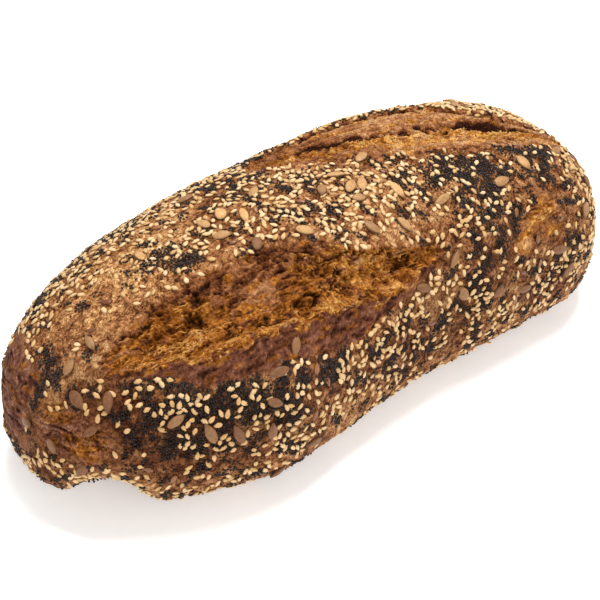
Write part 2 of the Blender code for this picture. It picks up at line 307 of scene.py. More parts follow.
def place_from_gap(across, x):
    """Place across the back cut, counted from its torn gap: -1 and 1 are still the lips."""
    gap = curve_through(GAP_PLACE, x / MM)
    return np.where(across < gap, (across - gap) / (1 + gap), (across - gap) / (1 - gap))


def cut_relief(x, angle, wander=0.0):
    """Height of the two burst cuts above the plain dough. The wander makes their lips ragged."""
    across, opening = place_on_cut(FRONT_CUT, x, angle)
    across = across + wander
    to_right = smooth_step(*FRONT_CHANGE, x)
    front = (1 - to_right) * curve_through(FRONT_LEFT_RELIEF, across)
    front = front + to_right * curve_through(FRONT_RIGHT_RELIEF, across)
    front = front * np.clip(opening / FULL_DEPTH_OPENING, 0, 1)
    across, opening = place_on_cut(BACK_CUT, x, angle)
    back = curve_through(BACK_RELIEF, place_from_gap(across + BACK_WANDER * wander, x))
    back = back * np.clip(opening / FULL_DEPTH_OPENING, 0, 1)
    return (front + back) * MM


middle_height = cut_relief(np.zeros(360), np.radians(np.arange(360) - 180)).min()
print("depth of the front cut half way along, mm:", round(-float(middle_height) / MM, 1))

# %% [markdown]
# ## The torn end
#
# The rolled dough ended in a seam at the left, and the seam tore a little too. There is a fold of skin
# across the end, a shallow torn hollow with two golden bulges and a pit, and a gap under the front of
# the end where the seam lifted off the baking stone. Each of them is a mound or a hollow with a centre
# and a spread, in mm.

# %% Relief of the end
SEAM_GAP = ((-120, -25), (15, 15), 4)
SEAM_GAP_DEPTH = 9.8
END_HOLLOW = ((-22, 42), (17, 9.5), 4)
END_BULGES = (((-30, 38), (7, 7), 2.6), ((-9, 46), (6, 5), 1.8))
END_PIT = ((-15, 40.5), (3.0, 2.2))


def mound(a, b, centre, spread, power=2):
    """A hump of height 1 over the plane of a and b, in mm; a higher power makes its sides steeper."""
    reach = np.hypot((a - centre[0]) / spread[0], (b - centre[1]) / spread[1])
    return np.exp(-reach ** power)


def end_relief(position):
    """Height of the fold of skin, the torn hollow with its bulges and pit, and the gap of the seam."""
    x, y, z = position.T / MM
    at_end = 1 - smooth_step(-126, -112, x)
    fold_z = 52 - 0.024 * (y + 2) ** 2
    fold = np.exp(-((z - fold_z) / 2.2) ** 2) * smooth_step(-8, 0, y) * (1 - smooth_step(16, 26, y))
    hollow = mound(y, z, *END_HOLLOW)
    bulges = sum(height * mound(y, z, centre, spread) for centre, spread, height in END_BULGES)
    seam_gap = SEAM_GAP_DEPTH * mound(x, y, *SEAM_GAP) * (1 - smooth_step(14, 34, z))
    return (at_end * (bulges - 1.5 * fold - 2.4 * hollow - 2.6 * mound(y, z, *END_PIT)) - seam_gap) * MM


print("the seam lifted", SEAM_GAP_DEPTH, "mm off the stone")

# %% [markdown]
# ## A grid that follows the cuts
#
# The mesh starts as a cube, cut into a grid, and each point of the cube's surface is given its `u` and
# angle. A cube has no poles, so the ends get even cells. Four rows of the grid are bent to run along
# the lips of the cuts, since a sharp lip that crosses cells at a slant would look like a saw.

# %% Grid
END_CAP_SHARE = 0.27
LIP_ROWS = (-62, -26, 2, 40)
LEAST_OPENING = 4.5
LOWER_ROWS = {"front": (-128, -116), "back": (118, 112)}
TINY = 1e-6
LEAST_REACH = 1e-9


def along_to_u(along):
    """Turns an even step along the dough's outline, -1 to 1, into u, so that the ends get even cells too."""
    u = np.linspace(0, 1, 2000)
    found = np.empty_like(along)
    for sign in (-1, 1):
        radius = WIDTH / 2 * end_profile(sign * u, PLAN_BLUNT)
        run = np.concatenate([[0], np.cumsum(np.hypot(np.diff(u) * LENGTH / 2, np.diff(radius)))])
        here = along * sign >= 0
        found[here] = sign * np.interp(np.abs(along[here]), run / run[-1], u)
    return found


def row_angle(x, row):
    """Bends the rows of the grid, in degrees, so that four of them run along the lips of the cuts."""
    ends = []
    for cut in (FRONT_CUT, BACK_CUT):
        middle, half = cut_middle(cut, x)
        half = np.maximum(half, LEAST_OPENING)
        ends += [middle - half, middle + half]
    level = np.ones_like(x)
    (front_row, front_angle), (back_row, back_angle) = LOWER_ROWS["front"], LOWER_ROWS["back"]
    rows = (-180, front_row) + LIP_ROWS + (back_row, 180)
    angles = [-180 * level, front_angle * level] + ends + [back_angle * level, 180 * level]
    found = np.empty_like(row)
    for i in range(len(rows) - 1):
        share = (row - rows[i]) / (rows[i + 1] - rows[i])
        here = (share >= 0) & (share <= 1)
        found = np.where(here, angles[i] + share * (angles[i + 1] - angles[i]), found)
    return found


def chart_of(box_points):
    """Turns points of the gridded cube into u along the dough and an angle round it."""
    x, y, z = box_points.T
    reach = np.maximum(np.maximum(np.abs(y), np.abs(z)), LEAST_REACH)
    on_top, below = z >= reach - TINY, z <= -reach + TINY
    row = np.where(y > 0, 90 - 45 * z / reach, -90 + 45 * z / reach)
    row = np.where(below, 180 - 45 * y / reach, row)
    row = np.where(on_top, 45 * y / reach, row)
    row = np.where(row > 180, row - 360, row)
    on_end = np.abs(x) > 1 - TINY
    along = np.where(on_end, np.sign(x) * (1 - END_CAP_SHARE * reach), x * (1 - END_CAP_SHARE))
    u = along_to_u(along)
    return u, np.radians(row_angle(u * LENGTH / 2, row))


print("rows along the lips at", LIP_ROWS, "degrees of the cube")

# %% [markdown]
# ## Finer cells where the surface is finer
#
# A fine grid all over would be wasteful, since the flat base has nothing to show. So each cell of the
# crust is cut into three by three, and those of the cuts and the torn end, where the crumb is, once more.

# %% Finer cells
CELLS_ACROSS = 22
CELLS_ALONG = 58
CRUST_ANGLE = 128
CELL_CUTS = 2
TORN_REACH = 1.22


def near_torn(u, angle):
    """True in and beside the cuts, and on the torn end."""
    x = u * LENGTH / 2
    found = np.zeros(len(x), bool)
    for cut in (FRONT_CUT, BACK_CUT):
        across, opening = place_on_cut(cut, x, angle)
        found |= (np.abs(across) < TORN_REACH) & (opening > 0)
    _, y, z = dough_surface(u, angle).T / MM
    return found | ((x < -120 * MM) & (mound(y, z, *END_HOLLOW) > 0.3))


def refine(bm, wanted):
    """Divides the edges of the faces whose middle is wanted."""
    faces = list(bm.faces)
    middles = np.array([f.calc_center_median() for f in faces])
    chosen = wanted(*chart_of(middles))
    edges = {e for f, use in zip(faces, chosen) if use for e in f.edges}
    bmesh.ops.subdivide_edges(bm, edges=list(edges), cuts=CELL_CUTS, use_grid_fill=True)


loaf_mesh = bmesh.new()
bmesh.ops.create_cube(loaf_mesh, size=2)
for lengthwise, cells in ((True, CELLS_ALONG), (False, CELLS_ACROSS)):
    edges = [e for e in loaf_mesh.edges
             if (abs(e.verts[0].co.x - e.verts[1].co.x) > TINY) == lengthwise]
    bmesh.ops.subdivide_edges(loaf_mesh, edges=edges, cuts=cells - 1, use_grid_fill=True)
refine(loaf_mesh, lambda u, angle: np.abs(np.degrees(angle)) < CRUST_ANGLE)
refine(loaf_mesh, near_torn)
bmesh.ops.triangulate(loaf_mesh, faces=loaf_mesh.faces)
print("loaf grid:", len(loaf_mesh.faces), "triangles")

# %% [markdown]
# ## Where each kind of surface is
#
# The relief, the colours and the seeds all need to know what kind of surface they are on, so these
# shares are worked out once for every point. Torn is all that opened in the oven, where no seeds lie.
# Golden is the part of it that is crumb, and the rest is brown skin that stretched. Dusk is the dark skin
# under the near lip of the front cut and on the left end, where its darkness is partly painted shade, and gap
# is the dark line of the back cut, painted shadow in its depth.
#
# The curves run along the loaf, in mm. Two give the far edge of the crumb across the front cut and of the
# dark line of painted shadow from the gap, and two give how far the skin reaches past the lips, in degrees. A
# patch is a place along and round the loaf and its two reaches.

# %% Borders of the torn places
GOLDEN_EDGE = (
    (-118, 1), (-102, 0.94), (-92, 0.89), (-82, 0.75), (-72, 0.65), (-66, 0.41), (-60, 0.03), (-45, -0.3),
    (-40, 0.04), (-36, 0.42), (-22, 0.54), (-16, 0.96), (28, 1.1)
)
SKIN_BELOW = (
    (-118, 3), (-104, 5.3), (-96, 9.8), (-57, 14.4), (-34, 16.2), (-20, 14.3), (-12, 9), (10, 3.8),
    (28, 2.8)
)
SKIN_ABOVE = ((-118, 2), (-80, 1.5), (-45, 0.5), (28, 0))
BACK_DARK = (
    (-16, 0.10), (10, 0.32), (24, 0.40), (34, 0.30), (50, 0.28), (62, 0.20), (72, 0.18), (80, 0.24),
    (87, 0.46), (97, 0.58), (106, 0.52), (114, 0.28), (124, 0.08)
)
END_TORN = ((-22, 42), (17 * 1.1, 9.5 * 1.15), 4)
END_GOLD = ((-14, 50, 7.0, 4.5), (-27.5, 39.5, 7.5, 6.0))
BALD_PATCHES = ((88, -55, 7, 6), (78, -60, 8, 6), (70, -68, 6, 6), (88, -68, 6, 4), (22, -55, 4, 2.5))


def band_share(value, low, high, soft):
    """1 between low and high, falling to 0 over the width soft outside them."""
    return smooth_step(low - soft, low, value) * (1 - smooth_step(high, high + soft, value))


def spots(places, a, b):
    """Sum of flat-topped spots, each given by its middle and its two reaches."""
    return sum(mound(a, b, place[:2], place[2:4], 4) for place in places)


print("crumb reaches furthest across at", max(GOLDEN_EDGE, key=lambda knot: knot[1])[0], "mm")


# %% Kinds of surface
def surface_kinds(x, angle, plain, wander):
    """Shares of each kind of surface. The wander makes their borders ragged."""
    along, degrees = x / MM, np.degrees(angle)
    _, y, z = plain.T / MM
    level = np.ones_like(x)

    across, opening = place_on_cut(FRONT_CUT, x, angle)
    across = across + wander
    there = smooth_step(0.5, 3, opening)
    wide = np.maximum(opening, 3)
    below = 1 + curve_through(SKIN_BELOW, along) / wide
    above = 1 + curve_through(SKIN_ABOVE, along) / wide
    front = band_share(across, -below, above, 0.10) * there
    golden = band_share(across + wander, -1.0 * level, curve_through(GOLDEN_EDGE, along), 0.16) * there
    dusk = band_share(across, -below, -1.0 * level, 0.06) * there

    from_gap, opening = place_on_cut(BACK_CUT, x, angle)
    from_gap = place_from_gap(from_gap + wander, x)
    there = smooth_step(0.5, 3, opening)
    back = band_share(from_gap, -1.22, 0.99, 0.05) * there
    golden = np.maximum(golden, 0.85 * band_share(from_gap + wander, -0.62, -0.04, 0.12) * there)
    # The gap share marks the painted shadow in the torn gap of the back cut.
    gap = band_share(from_gap + 0.6 * wander, -0.02, curve_through(BACK_DARK, along), 0.06) * there
    # A thin painted shadow under the far lip of the back cut.
    gap += 0.5 * band_share(from_gap + 0.3 * wander, 0.93, 0.97, 0.03) * there

    at_end = 1 - smooth_step(-126, -118, along)
    end_torn = mound(y, z, *END_TORN)
    end_skin = band_share(y, 0, 30, 4) * band_share(z, 25, 56, 4)
    end_gold = spots(END_GOLD, y + 8 * wander, z)
    bald = np.clip(spots(BALD_PATCHES, along, degrees + 20 * wander), 0, 1)
    end = np.clip(np.maximum(end_torn, end_skin) * at_end, 0, 1)
    return {
        "torn": np.clip(np.maximum.reduce([front, back, end, bald]), 0, 1),
        "golden": np.clip(np.maximum.reduce([golden, 0.95 * end_gold * at_end, 0.9 * bald]), 0, 1),
        # On the left end, all that is not golden is dusk, painted shade where the end turns from the light.
        "dusk": np.clip(np.maximum(dusk, end * (1 - end_gold)), 0, 1),
        "gap": gap,
        "back": back,
        "bald": bald,
        "end": end,
    }


print("kinds: torn, golden, dusk, gap, back, bald and end")

# %% [markdown]
# ## Relief of the loaf
#
# The points go to the plain dough first. Then each one moves along its normal by the height of the
# cuts, the end and slow waves of the crust. Two kinds of noise do the rest. Crust wrinkles, with sharp
# creases between soft lumps. Crumb tears, with sharp ridges between soft hollows, drawn out along the
# cut where the skin stretched and across it where strands hang in the bowl at the right.

# %% Noise over many points
MM_PER_DEGREE = 0.95


def noise_at(points, size):
    """Smooth noise, about -0.6 to 0.6, with swells of the given size in mm (one number or three)."""
    return np.array([noise.noise(p) for p in (points / MM / np.asarray(size, float)).tolist()])


def creases(points, size):
    """-1 in sharp creases, up to 1 on the lumps between them."""
    return np.clip(5 * np.abs(noise_at(points, size)) - 1, -1, 1)


def ridges(points, size):
    """1 on sharp ridges, down to -1 in the hollows between them."""
    return np.clip(1 - 5 * np.abs(noise_at(points, size)), -1, 1)


print("one degree round the loaf is about", MM_PER_DEGREE, "mm")

# %% Move the grid to the loaf
box_points = np.array([v.co for v in loaf_mesh.verts])
loaf_u, loaf_angle = chart_of(box_points)
plain = dough_surface(loaf_u, loaf_angle)
loaf_x = plain[:, 0]
degrees = np.degrees(loaf_angle)


def move_points(bm, points):
    """Puts the mesh at the points and returns the normals it then has."""
    for vert, point in zip(bm.verts, points):
        vert.co = point
    bm.normal_update()
    return np.array([v.normal for v in bm.verts])


plain_normals = move_points(loaf_mesh, plain)
ragged = 0.14 * noise_at(plain, 10) + 0.12 * noise_at(plain, 3.4)
kinds = surface_kinds(loaf_x, loaf_angle, plain, ragged)
height = cut_relief(loaf_x, loaf_angle, 0.85 * ragged) + end_relief(plain)
height += MM * (1.2 * noise_at(plain, 42) + 0.45 * noise_at(plain, 15))
wrinkle = 0.5 * creases(plain, 7.5) + 0.5 * creases(plain + 0.1, 3.8)
crust_share = 1 - kinds["torn"]
height += MM * (0.50 * wrinkle + 0.35 * noise_at(plain + 0.3, 3.0)) * crust_share
# The tone darkens the creases of the wrinkles as painted shade; its slow noise is the crust's own uneven
# colour.
tone = (0.7 * wrinkle + 1.0 * noise_at(plain + 0.4, 19)) * crust_share
print("torn places cover", int((kinds["torn"] > 0.5).sum()), "of", len(plain), "points")

# %% [markdown]
# ## Noise that follows the tears
#
# Crumb tears in streaks, so its noise has to be drawn out along a direction. The torn surface is
# rolled out flat for that: one axis runs along the loaf and the other away from the middle of the
# nearer cut. The noise is stretched there along the cut, or across it in the bowl, and swayed by
# a slower noise, so that no streak is straight. The golden crumb is blotched with islands of skin.

# %% Streaks, fibres and pits
BOWL = ((-13, -47), (20, 11), 4)

torn_at = np.nonzero(kinds["torn"] > 0.02)[0]
here = {name: share[torn_at] for name, share in kinds.items()}
torn_points = (plain + plain_normals * (height * kinds["back"])[:, None])[torn_at]
torn_x, torn_degrees = loaf_x[torn_at] / MM, degrees[torn_at]
sway = np.stack([noise_at(torn_points + shift, 5.0) for shift in (0, 0.05, 0.09)], axis=-1) * MM
away = [torn_degrees - cut_middle(cut, loaf_x[torn_at])[0] for cut in (FRONT_CUT, BACK_CUT)]
nearer = np.where(np.abs(away[0]) < np.abs(away[1]), away[0], away[1])
flat = np.stack([loaf_x[torn_at], nearer * MM_PER_DEGREE * MM, np.zeros_like(nearer)], axis=-1)
end_flat = torn_points[:, [1, 2, 0]] * (1, 1, 0)
in_bowl = mound(torn_x, torn_degrees, *BOWL)


def drawn_out(noise_kind, size, waves=1.0, shift=0.0):
    """Noise that is drawn out over the torn surface: along the loaf, and on the left end across it."""
    on_top = noise_kind(flat + waves * sway + shift, size)
    on_end = noise_kind(end_flat + waves * sway + shift, size)
    return on_top + here["end"] * (on_end - on_top)


def streaks(size, size_in_bowl):
    """Ridges along the loaf, and across the cut where strands hang in the bowl."""
    return (1 - in_bowl) * drawn_out(ridges, size) + in_bowl * drawn_out(ridges, size_in_bowl)


def strands_at(turn, size):
    """Thin strands that cross the torn surface at a turn, in degrees, here and there: 0 to 1."""
    spin = np.array(Matrix.Rotation(math.radians(turn), 3, "Z"))
    strand = np.clip(ridges((flat + 1.5 * sway) @ spin, size), 0, 1) ** 2
    return strand * smooth_step(0.0, 0.25, noise_at(flat + 0.01 * turn, 6))


swayed = torn_points + 2 * sway
large = drawn_out(ridges, (15, 7, 7), waves=2.0)
long_streak = streaks((13, 2.7, 1), (2.6, 12, 1))
short_streak = streaks((5.5, 1.4, 1), (1.5, 6, 1))
medium = ridges(swayed, 3.1)
fine_ridge = ridges(swayed, 1.6)
fibre = noise_at(swayed, 0.95)
pits = smooth_step(0.18, 0.40, noise_at(swayed + 0.4, 3.6))
small_pits = smooth_step(0.22, 0.42, noise_at(swayed + 0.6, 1.8))
tear = smooth_step(0.25, 0.38, drawn_out(noise_at, (8.0, 1.7, 1), waves=0.0, shift=0.3))
clump = drawn_out(noise_at, (9, 5, 1), waves=0.0, shift=0.5)
blotch = drawn_out(noise_at, (5.5, 2.6, 1), waves=0.0, shift=0.7)
golden = smooth_step(0.25, 0.75, 0.12 + 0.70 * here["golden"] + 1.3 * blotch)
brown = 1 - golden
strands = np.maximum.reduce([strands_at(turn, (9, 1.6, 1)) for turn in (-40, 8, 35, 75)])
print("golden crumb is", round(100 * float(golden.mean())), "% of the torn surface")

# %% [markdown]
# ## Height and tone of the tears
#
# Each noise is added twice: as a height, and as a tone that the material reads. Through the tone, ridges are
# paler and pits and tears darker than the light alone would make them, which is painted light and painted
# shade. Brown skin is smoother than crumb, and one patch of it, near the middle of the front cut, is smooth
# as leather.

# %% Height and tone
LEATHER = (-51, -29, 9.0, 6.0)

torn_height = golden * (0.42 * large + 0.24 * long_streak + 0.12 * short_streak + 0.10 * medium
                        + 0.3 * strands)
torn_height -= golden * (0.32 * pits + 0.4 * small_pits)
torn_height += brown * (0.2 * large + 0.3 * long_streak + 0.15 * short_streak - 0.8 * tear
                        - 0.35 * small_pits)
torn_height += (0.5 * here["golden"] * brown + (0.05 + 0.10 * golden) * fine_ridge
                + (0.06 + 0.15 * golden) * fibre)
# Ridges and streaks raise the tone, partly as painted light; clumps and fibres are the crumb's own uneven
# colour.
torn_tone = (0.18 * large + 0.24 * long_streak + 0.20 * short_streak
             + (0.16 + 0.10 * golden) * fine_ridge + 0.55 * clump)
torn_tone += (0.3 + 0.3 * golden) * fibre
# Pits and tears are darkened as painted shade, and strands lightened as painted light.
torn_tone += (golden * (0.1 * medium - 0.45 * pits + 0.35 * strands) - 0.7 * small_pits
              - brown * 0.9 * tear)
# The bowl at the right of the front cut is lightened as painted light; bald patches are paler crumb.
torn_tone += 0.4 * in_bowl + 0.8 * here["bald"]
# The steep far wall at the right of the front cut gets painted light, since the main light hardly reaches it.
across, _ = place_on_cut(FRONT_CUT, loaf_x[torn_at], loaf_angle[torn_at])
torn_tone += 0.5 * (band_share(across, 0.45, 0.9, 0.15) * band_share(torn_x, -18, 26, 8))
leather = spots((LEATHER,), torn_x, torn_degrees + 4 * clump)
torn_height *= 1 - 0.5 * leather
torn_tone = (1 - 0.6 * leather) * torn_tone + 0.4 * leather
print("relief of the torn places, mm:", round(float(torn_height.min()), 1),
      "to", round(float(torn_height.max()), 1))

# %% [markdown]
# ## Holes, bulges, cracks and bright edges
#
# The noise gives crumb of the right kind, but the eye knows a loaf by its largest holes and edges, so those
# that stand out were measured and are put in one by one. A hole and a bulge are a place, two reaches and a
# depth or a rise in mm; cracks and bright edges are lines through places. Places are mm along the loaf and
# degrees round it. Holes and cracks are darkened as painted shade, bulges lightened as painted light, and a
# crack under a far lip is the painted shadow of that lip. Bright edges are golden crumb with a painted
# highlight where the lips catch the light.

# %% Places of the crumb
HOLES = (
    (-78, -23, 2.4, 2.6, 2.6), (-83, -27, 4.5, 2.0, 1.3), (-88, -29.5, 3.0, 2.0, 1.2),
    (-72, -18, 2.4, 1.3, 1.6), (-90, -13, 2.8, 1.4, 1.8), (-66, -12, 2.4, 1.3, 1.4),
    (-66, -46, 3.4, 1.9, 1.8), (-70, -38, 2.4, 1.9, 1.6), (-75, -26, 1.4, 1.2, 1.0),
    (-77, -30, 1.6, 1.2, 1.1), (-91, -22, 1.8, 1.3, 1.0), (-93, -28, 2.6, 3.2, 1.1),
    (-58, -32, 1.5, 1.3, 1.0), (-58, -44, 3.5, 2.0, 1.3), (-53, -22, 4.0, 2.0, 1.8),
    (-64, -32, 2.0, 1.5, 0.9), (-40, -18, 3.0, 1.5, 1.6), (-37, -22, 1.8, 1.3, 1.2),
    (-30, -28, 2.4, 1.8, 1.6), (-32, -46, 3.2, 2.6, 2.6), (-20, -50, 3.6, 2.0, 1.3),
    (-15, -57, 2.8, 2.8, 2.8), (-6, -56, 2.2, 1.8, 1.4), (-43, -34, 1.6, 1.4, 1.0),
    (-40, -37, 1.8, 1.4, 1.1), (-40, -46, 2.6, 2.0, 1.0), (-51, -45, 5.0, 1.8, 1.1),
    (-32, -61, 2.8, 1.8, 1.6), (-38, -53, 1.6, 1.2, 0.8), (-14, -35, 3.4, 1.7, 1.8),
    (3.5, -45, 4.0, 1.8, 0.9), (12, -54, 3.5, 1.5, 1.5), (-5, -54, 1.6, 1.4, 1.4),
    (-9, -55.5, 1.4, 1.2, 1.2), (91, -2.0, 5.0, 2.4, 2.2), (100, -4.0, 6.0, 2.4, 2.2)
)
CRACKS = (
    ((-80, -15), (-78, -16), (-75, -15)), ((-76, -14), (-74, -16.5), (-71, -16)), ((-64, -21), (-61, -22),
    (-59, -26)), ((-103, -18.5), (-98, -18), (-91, -17.5)), ((-89, -14), (-86, -13.5), (-82, -13.5)),
    ((-64, -17), (-60, -18.5)), ((-22, -26), (-18, -28), (-15, -30)), ((-16.5, -32), (-12, -35),
    (-8, -38.5)), ((0, -42), (4, -44), (8, -47), (12, -50)), ((9, -52), (12, -54), (14, -57)),
    ((-24, -35), (-21, -40), (-20.5, -44), (-22, -46.5)), ((-32, -46), (-28, -48), (-23, -46.5),
    (-19, -50)), ((-44, -23), (-42, -24), (-36, -24)), ((-33, -27), (-28, -28.5), (-24, -32.5),
    (-19, -36.5), (-16, -36), (-15.5, -33))
)
BRIGHT_EDGES = (
    ((-106, -34.2), (-100, -36.7), (-94, -39.8), (-88, -42), (-82, -42.9), (-76, -43.6), (-68, -44.4),
    (-60, -45.2), (-50, -46.9), (-40, -49.3), (-30, -52.2), (-22, -54.8), (-14, -57.9), (-6, -60),
    (4, -61), (14, -60)), ((-96, -30), (-88, -34), (-84, -33), (-80, -31), (-76, -32)), ((-6, 14),
    (11, 17.5), (19, 14.5), (28, 10.5), (38, 7.5), (48, 4.5), (57, 2.5), (66, 1.5), (76, 0.5), (84, -2),
    (92, -6), (102, -9))
)
BULGES = (
    (-84, -35, 6.0, 5.0, 1.4), (-78, -32, 4.0, 2.5, 0.8), (-105, -23, 5.0, 4.0, 0.8),
    (-67, -41, 4.0, 2.5, 0.7), (-16, -44, 6.0, 5.0, 0.9), (-94, -21, 1.6, 1.6, 1.0),
    (6, -50, 3.4, 1.5, 1.2), (-59, -24.5, 4.2, 1.7, 1.3), (-53, -30, 4.4, 1.6, 1.3),
    (-48, -36.5, 4.0, 1.6, 1.2), (-29.5, -27.5, 3.6, 1.8, 1.1), (-43, -29, 3.0, 1.6, 1.0)
)
CRACK_WIDTH = 0.85
BRIGHT_WIDTH = 1.3

print(len(HOLES), "holes,", len(CRACKS), "cracks,", len(BULGES), "bulges and",
      len(BRIGHT_EDGES), "bright edges")


# %% Holes, bulges, cracks and bright edges
def near_line(x, degrees, line, width):
    """1 on a line through places of the chart, falling to 0 over a width in mm."""
    places = np.array(line, float) * (1, MM_PER_DEGREE)
    here = np.stack([x, degrees * MM_PER_DEGREE], axis=-1)
    least = np.full(len(here), np.inf)
    for start, end in zip(places[:-1], places[1:]):
        run = end - start
        share = np.clip((here - start) @ run / (run @ run), 0, 1)
        least = np.minimum(least, np.linalg.norm(here - start - share[:, None] * run, axis=-1))
    return np.exp(-(least / width) ** 2)


ragged_x = torn_x + 3 * fibre + 6 * sway[:, 0] / MM
ragged_degrees = torn_degrees + 2 * fibre + 6 * sway[:, 1] / MM
# Holes are sunk and darkened as painted shade, bulges raised and lightened as painted light, and cracks sunk
# and painted as dark lines of shadow.
for x, angle, reach_x, reach_angle, depth in HOLES:
    hole = mound(ragged_x, ragged_degrees, (x, angle), (reach_x, reach_angle), 4)
    torn_height -= depth * hole
    torn_tone -= 0.55 * depth * hole
for x, angle, reach_x, reach_angle, rise in BULGES:
    bulge = mound(ragged_x, ragged_degrees, (x, angle), (reach_x, reach_angle))
    torn_height += rise * bulge
    torn_tone += 0.3 * rise * bulge
for line in CRACKS:
    crack = near_line(ragged_x, ragged_degrees, line, CRACK_WIDTH)
    torn_height -= 1.2 * crack
    torn_tone -= 1.2 * crack
# Bright edges are golden crumb lips, raised and lightened with a painted highlight where they catch the
# light.
bright = np.max([near_line(ragged_x, ragged_degrees, line, BRIGHT_WIDTH) for line in BRIGHT_EDGES], axis=0)
torn_height += bright * (0.5 + 0.9 * fibre + 0.5 * fine_ridge)
torn_tone += bright * (1.3 + 0.8 * fibre - 0.3 * small_pits)
golden = np.maximum(golden, bright)
print("bright edges cover", round(100 * float(bright.mean())), "% of the torn surface")

# %% [markdown]
# ## The back cut, the dark skin and the end
#
# The gap of the back cut is deepened and painted dark as shadow, in patches and all along a hollow at its
# right, and what lies beside it grows paler to the right. The dark skin below the front cut is smooth, with
# fine streaks, and the torn end is smooth and has strong contrasts.

# %% Back cut, dark skin and end
BACK_TONE = ((-16, 0.0), (22, 0.36), (45, 0.80), (80, 0.95), (130, 0.75))
HOLLOW_REACH = (87, 110)

hollow = band_share(torn_x, *HOLLOW_REACH, 4)
# In the gap the crumb is deepened and painted dark as shadow, lighter on its fibres.
gap = here["gap"] * np.maximum(hollow, smooth_step(-0.45, -0.18, noise_at(flat + 1.1, (8, 3, 1))))
torn_height -= gap
torn_tone -= (2.2 - 2.4 * np.clip(fibre + 0.3 * fine_ridge, 0, 1)) * gap
torn_tone += curve_through(BACK_TONE, torn_x) * here["back"] * (1 - gap)
dusk_here = here["dusk"] * (1 - here["end"])
torn_height += dusk_here * (0.22 * short_streak - 0.5 * torn_height)
torn_tone += dusk_here * (0.3 * short_streak - 0.25 * torn_tone)
torn_height *= 1 - 0.5 * here["end"]
torn_tone = (1 + 0.5 * here["end"]) * torn_tone + here["end"] * (0.55 * brown - 0.35 * golden)

kinds["crumb"] = kinds["golden"] > 0.4
kinds["golden"][torn_at] = golden
kinds["bright"] = np.zeros_like(loaf_x)
kinds["bright"][torn_at] = bright
height[torn_at] += here["torn"] * torn_height * MM
tone[torn_at] += here["torn"] * torn_tone
print("tone of the torn places:", round(float(torn_tone.min()), 1), "to", round(float(torn_tone.max()), 1))

# %% [markdown]
# ## The loaf's mesh
#
# Now every point can go to its place: out from the dough by its height, and towards the front where a
# far lip leans over its cut. Nothing may reach below the table. The shares and the tone are stored
# with the points, as attributes that the material reads.

# %% The loaf's mesh
LIP_OVERHANG = 0.6 * MM
BACK_OVERHANG_SHARE = 0.6


def lip_shift(x, angle):
    """How far the far lips lean over their cuts, towards the front."""
    shift = 0
    for cut, share, width in ((FRONT_CUT, smooth_step(*FRONT_CHANGE, x), 0.2),
                              (BACK_CUT, BACK_OVERHANG_SHARE, 0.15)):
        across, opening = place_on_cut(cut, x, angle)
        shift = shift + share * np.exp(-((across - 1.02) / width) ** 2) * smooth_step(3, 9, opening)
    return LIP_OVERHANG * shift


def store(mesh, name, values):
    """Keeps one number for each point of a mesh, for the materials to read."""
    layer = mesh.attributes.new(name, "FLOAT", "POINT")
    layer.data.foreach_set("value", np.asarray(values, np.float32))


forwards = np.cross(plain_normals, (1.0, 0.0, 0.0))
loaf_points = plain + plain_normals * height[:, None] - forwards * lip_shift(loaf_x, loaf_angle)[:, None]
loaf_points[:, 2] = np.maximum(loaf_points[:, 2], 0.0)
loaf_normals = move_points(loaf_mesh, loaf_points)

loaf = add_object("crust_and_crumb", bpy.data.meshes.new("crust_and_crumb"))
loaf_mesh.to_mesh(loaf.data)
loaf_faces = np.array([[v.index for v in f.verts] for f in loaf_mesh.faces])
loaf_mesh.free()
loaf.data.shade_smooth()
for name in ("torn", "golden", "dusk"):
    store(loaf.data, name, kinds[name])
store(loaf.data, "tone", tone)
print("loaf:", len(loaf.data.polygons), "triangles after", round(time.time() - start_time, 1), "s")

# %% [markdown]
# ## Bake and painted shade
#
# Bread doesn't brown evenly, and the light doesn't fall on it evenly either. The front left and the left end
# are dark, partly baked darker and partly painted shade where they turn away from the light; the top left is
# light and reddish, partly as painted light; and the middle of the front is between them. A few soft patches
# give that, and the materials of the crust and of the seeds both read it.

# %% Bake and painted shade
# A patch above 0 darkens, as bake and painted shade; one below 0 lightens, as paler bake and painted light.
BAKE_AND_SHADE_PATCHES = (
    (-95, 8, 34, 30, -0.75), (-20, 10, 60, 20, -0.2), (-122, -42, 17, 34, 1.0), (-90, -78, 34, 22, 0.95),
    (-138, -60, 8, 90, 0.65), (20, -84, 60, 24, 0.55), (60, 0, 40, 25, -0.15), (70, -62, 40, 24, 0.40),
    (126, -35, 18, 45, -0.3), (-112, -84, 16, 14, 0.45)
)


def patches_at(patches, x, degrees):
    """Sum of soft patches, each given by its place, its two reaches and its amount."""
    return sum(amount * np.exp(-((x / MM - px) / rx) ** 2 - ((degrees - pa) / ra) ** 2)
               for px, pa, rx, ra, amount in patches)


bake_and_shade = patches_at(BAKE_AND_SHADE_PATCHES, loaf_x, degrees)
store(loaf.data, "bake_and_shade", bake_and_shade)
print("bake from", round(float(bake_and_shade.min()), 2), "to", round(float(bake_and_shade.max()), 2))

# %% [markdown]
# ## Where the seeds lie
#
# The loaf was rolled in seeds, so they lie in drifts: thick between the cuts and along the far side,
# thin on the top left, and with poppy seeds in black patches. A density for each kind gives the chance
# of a seed at a place. Torn crumb and stretched skin have none, as they only came out in the oven.

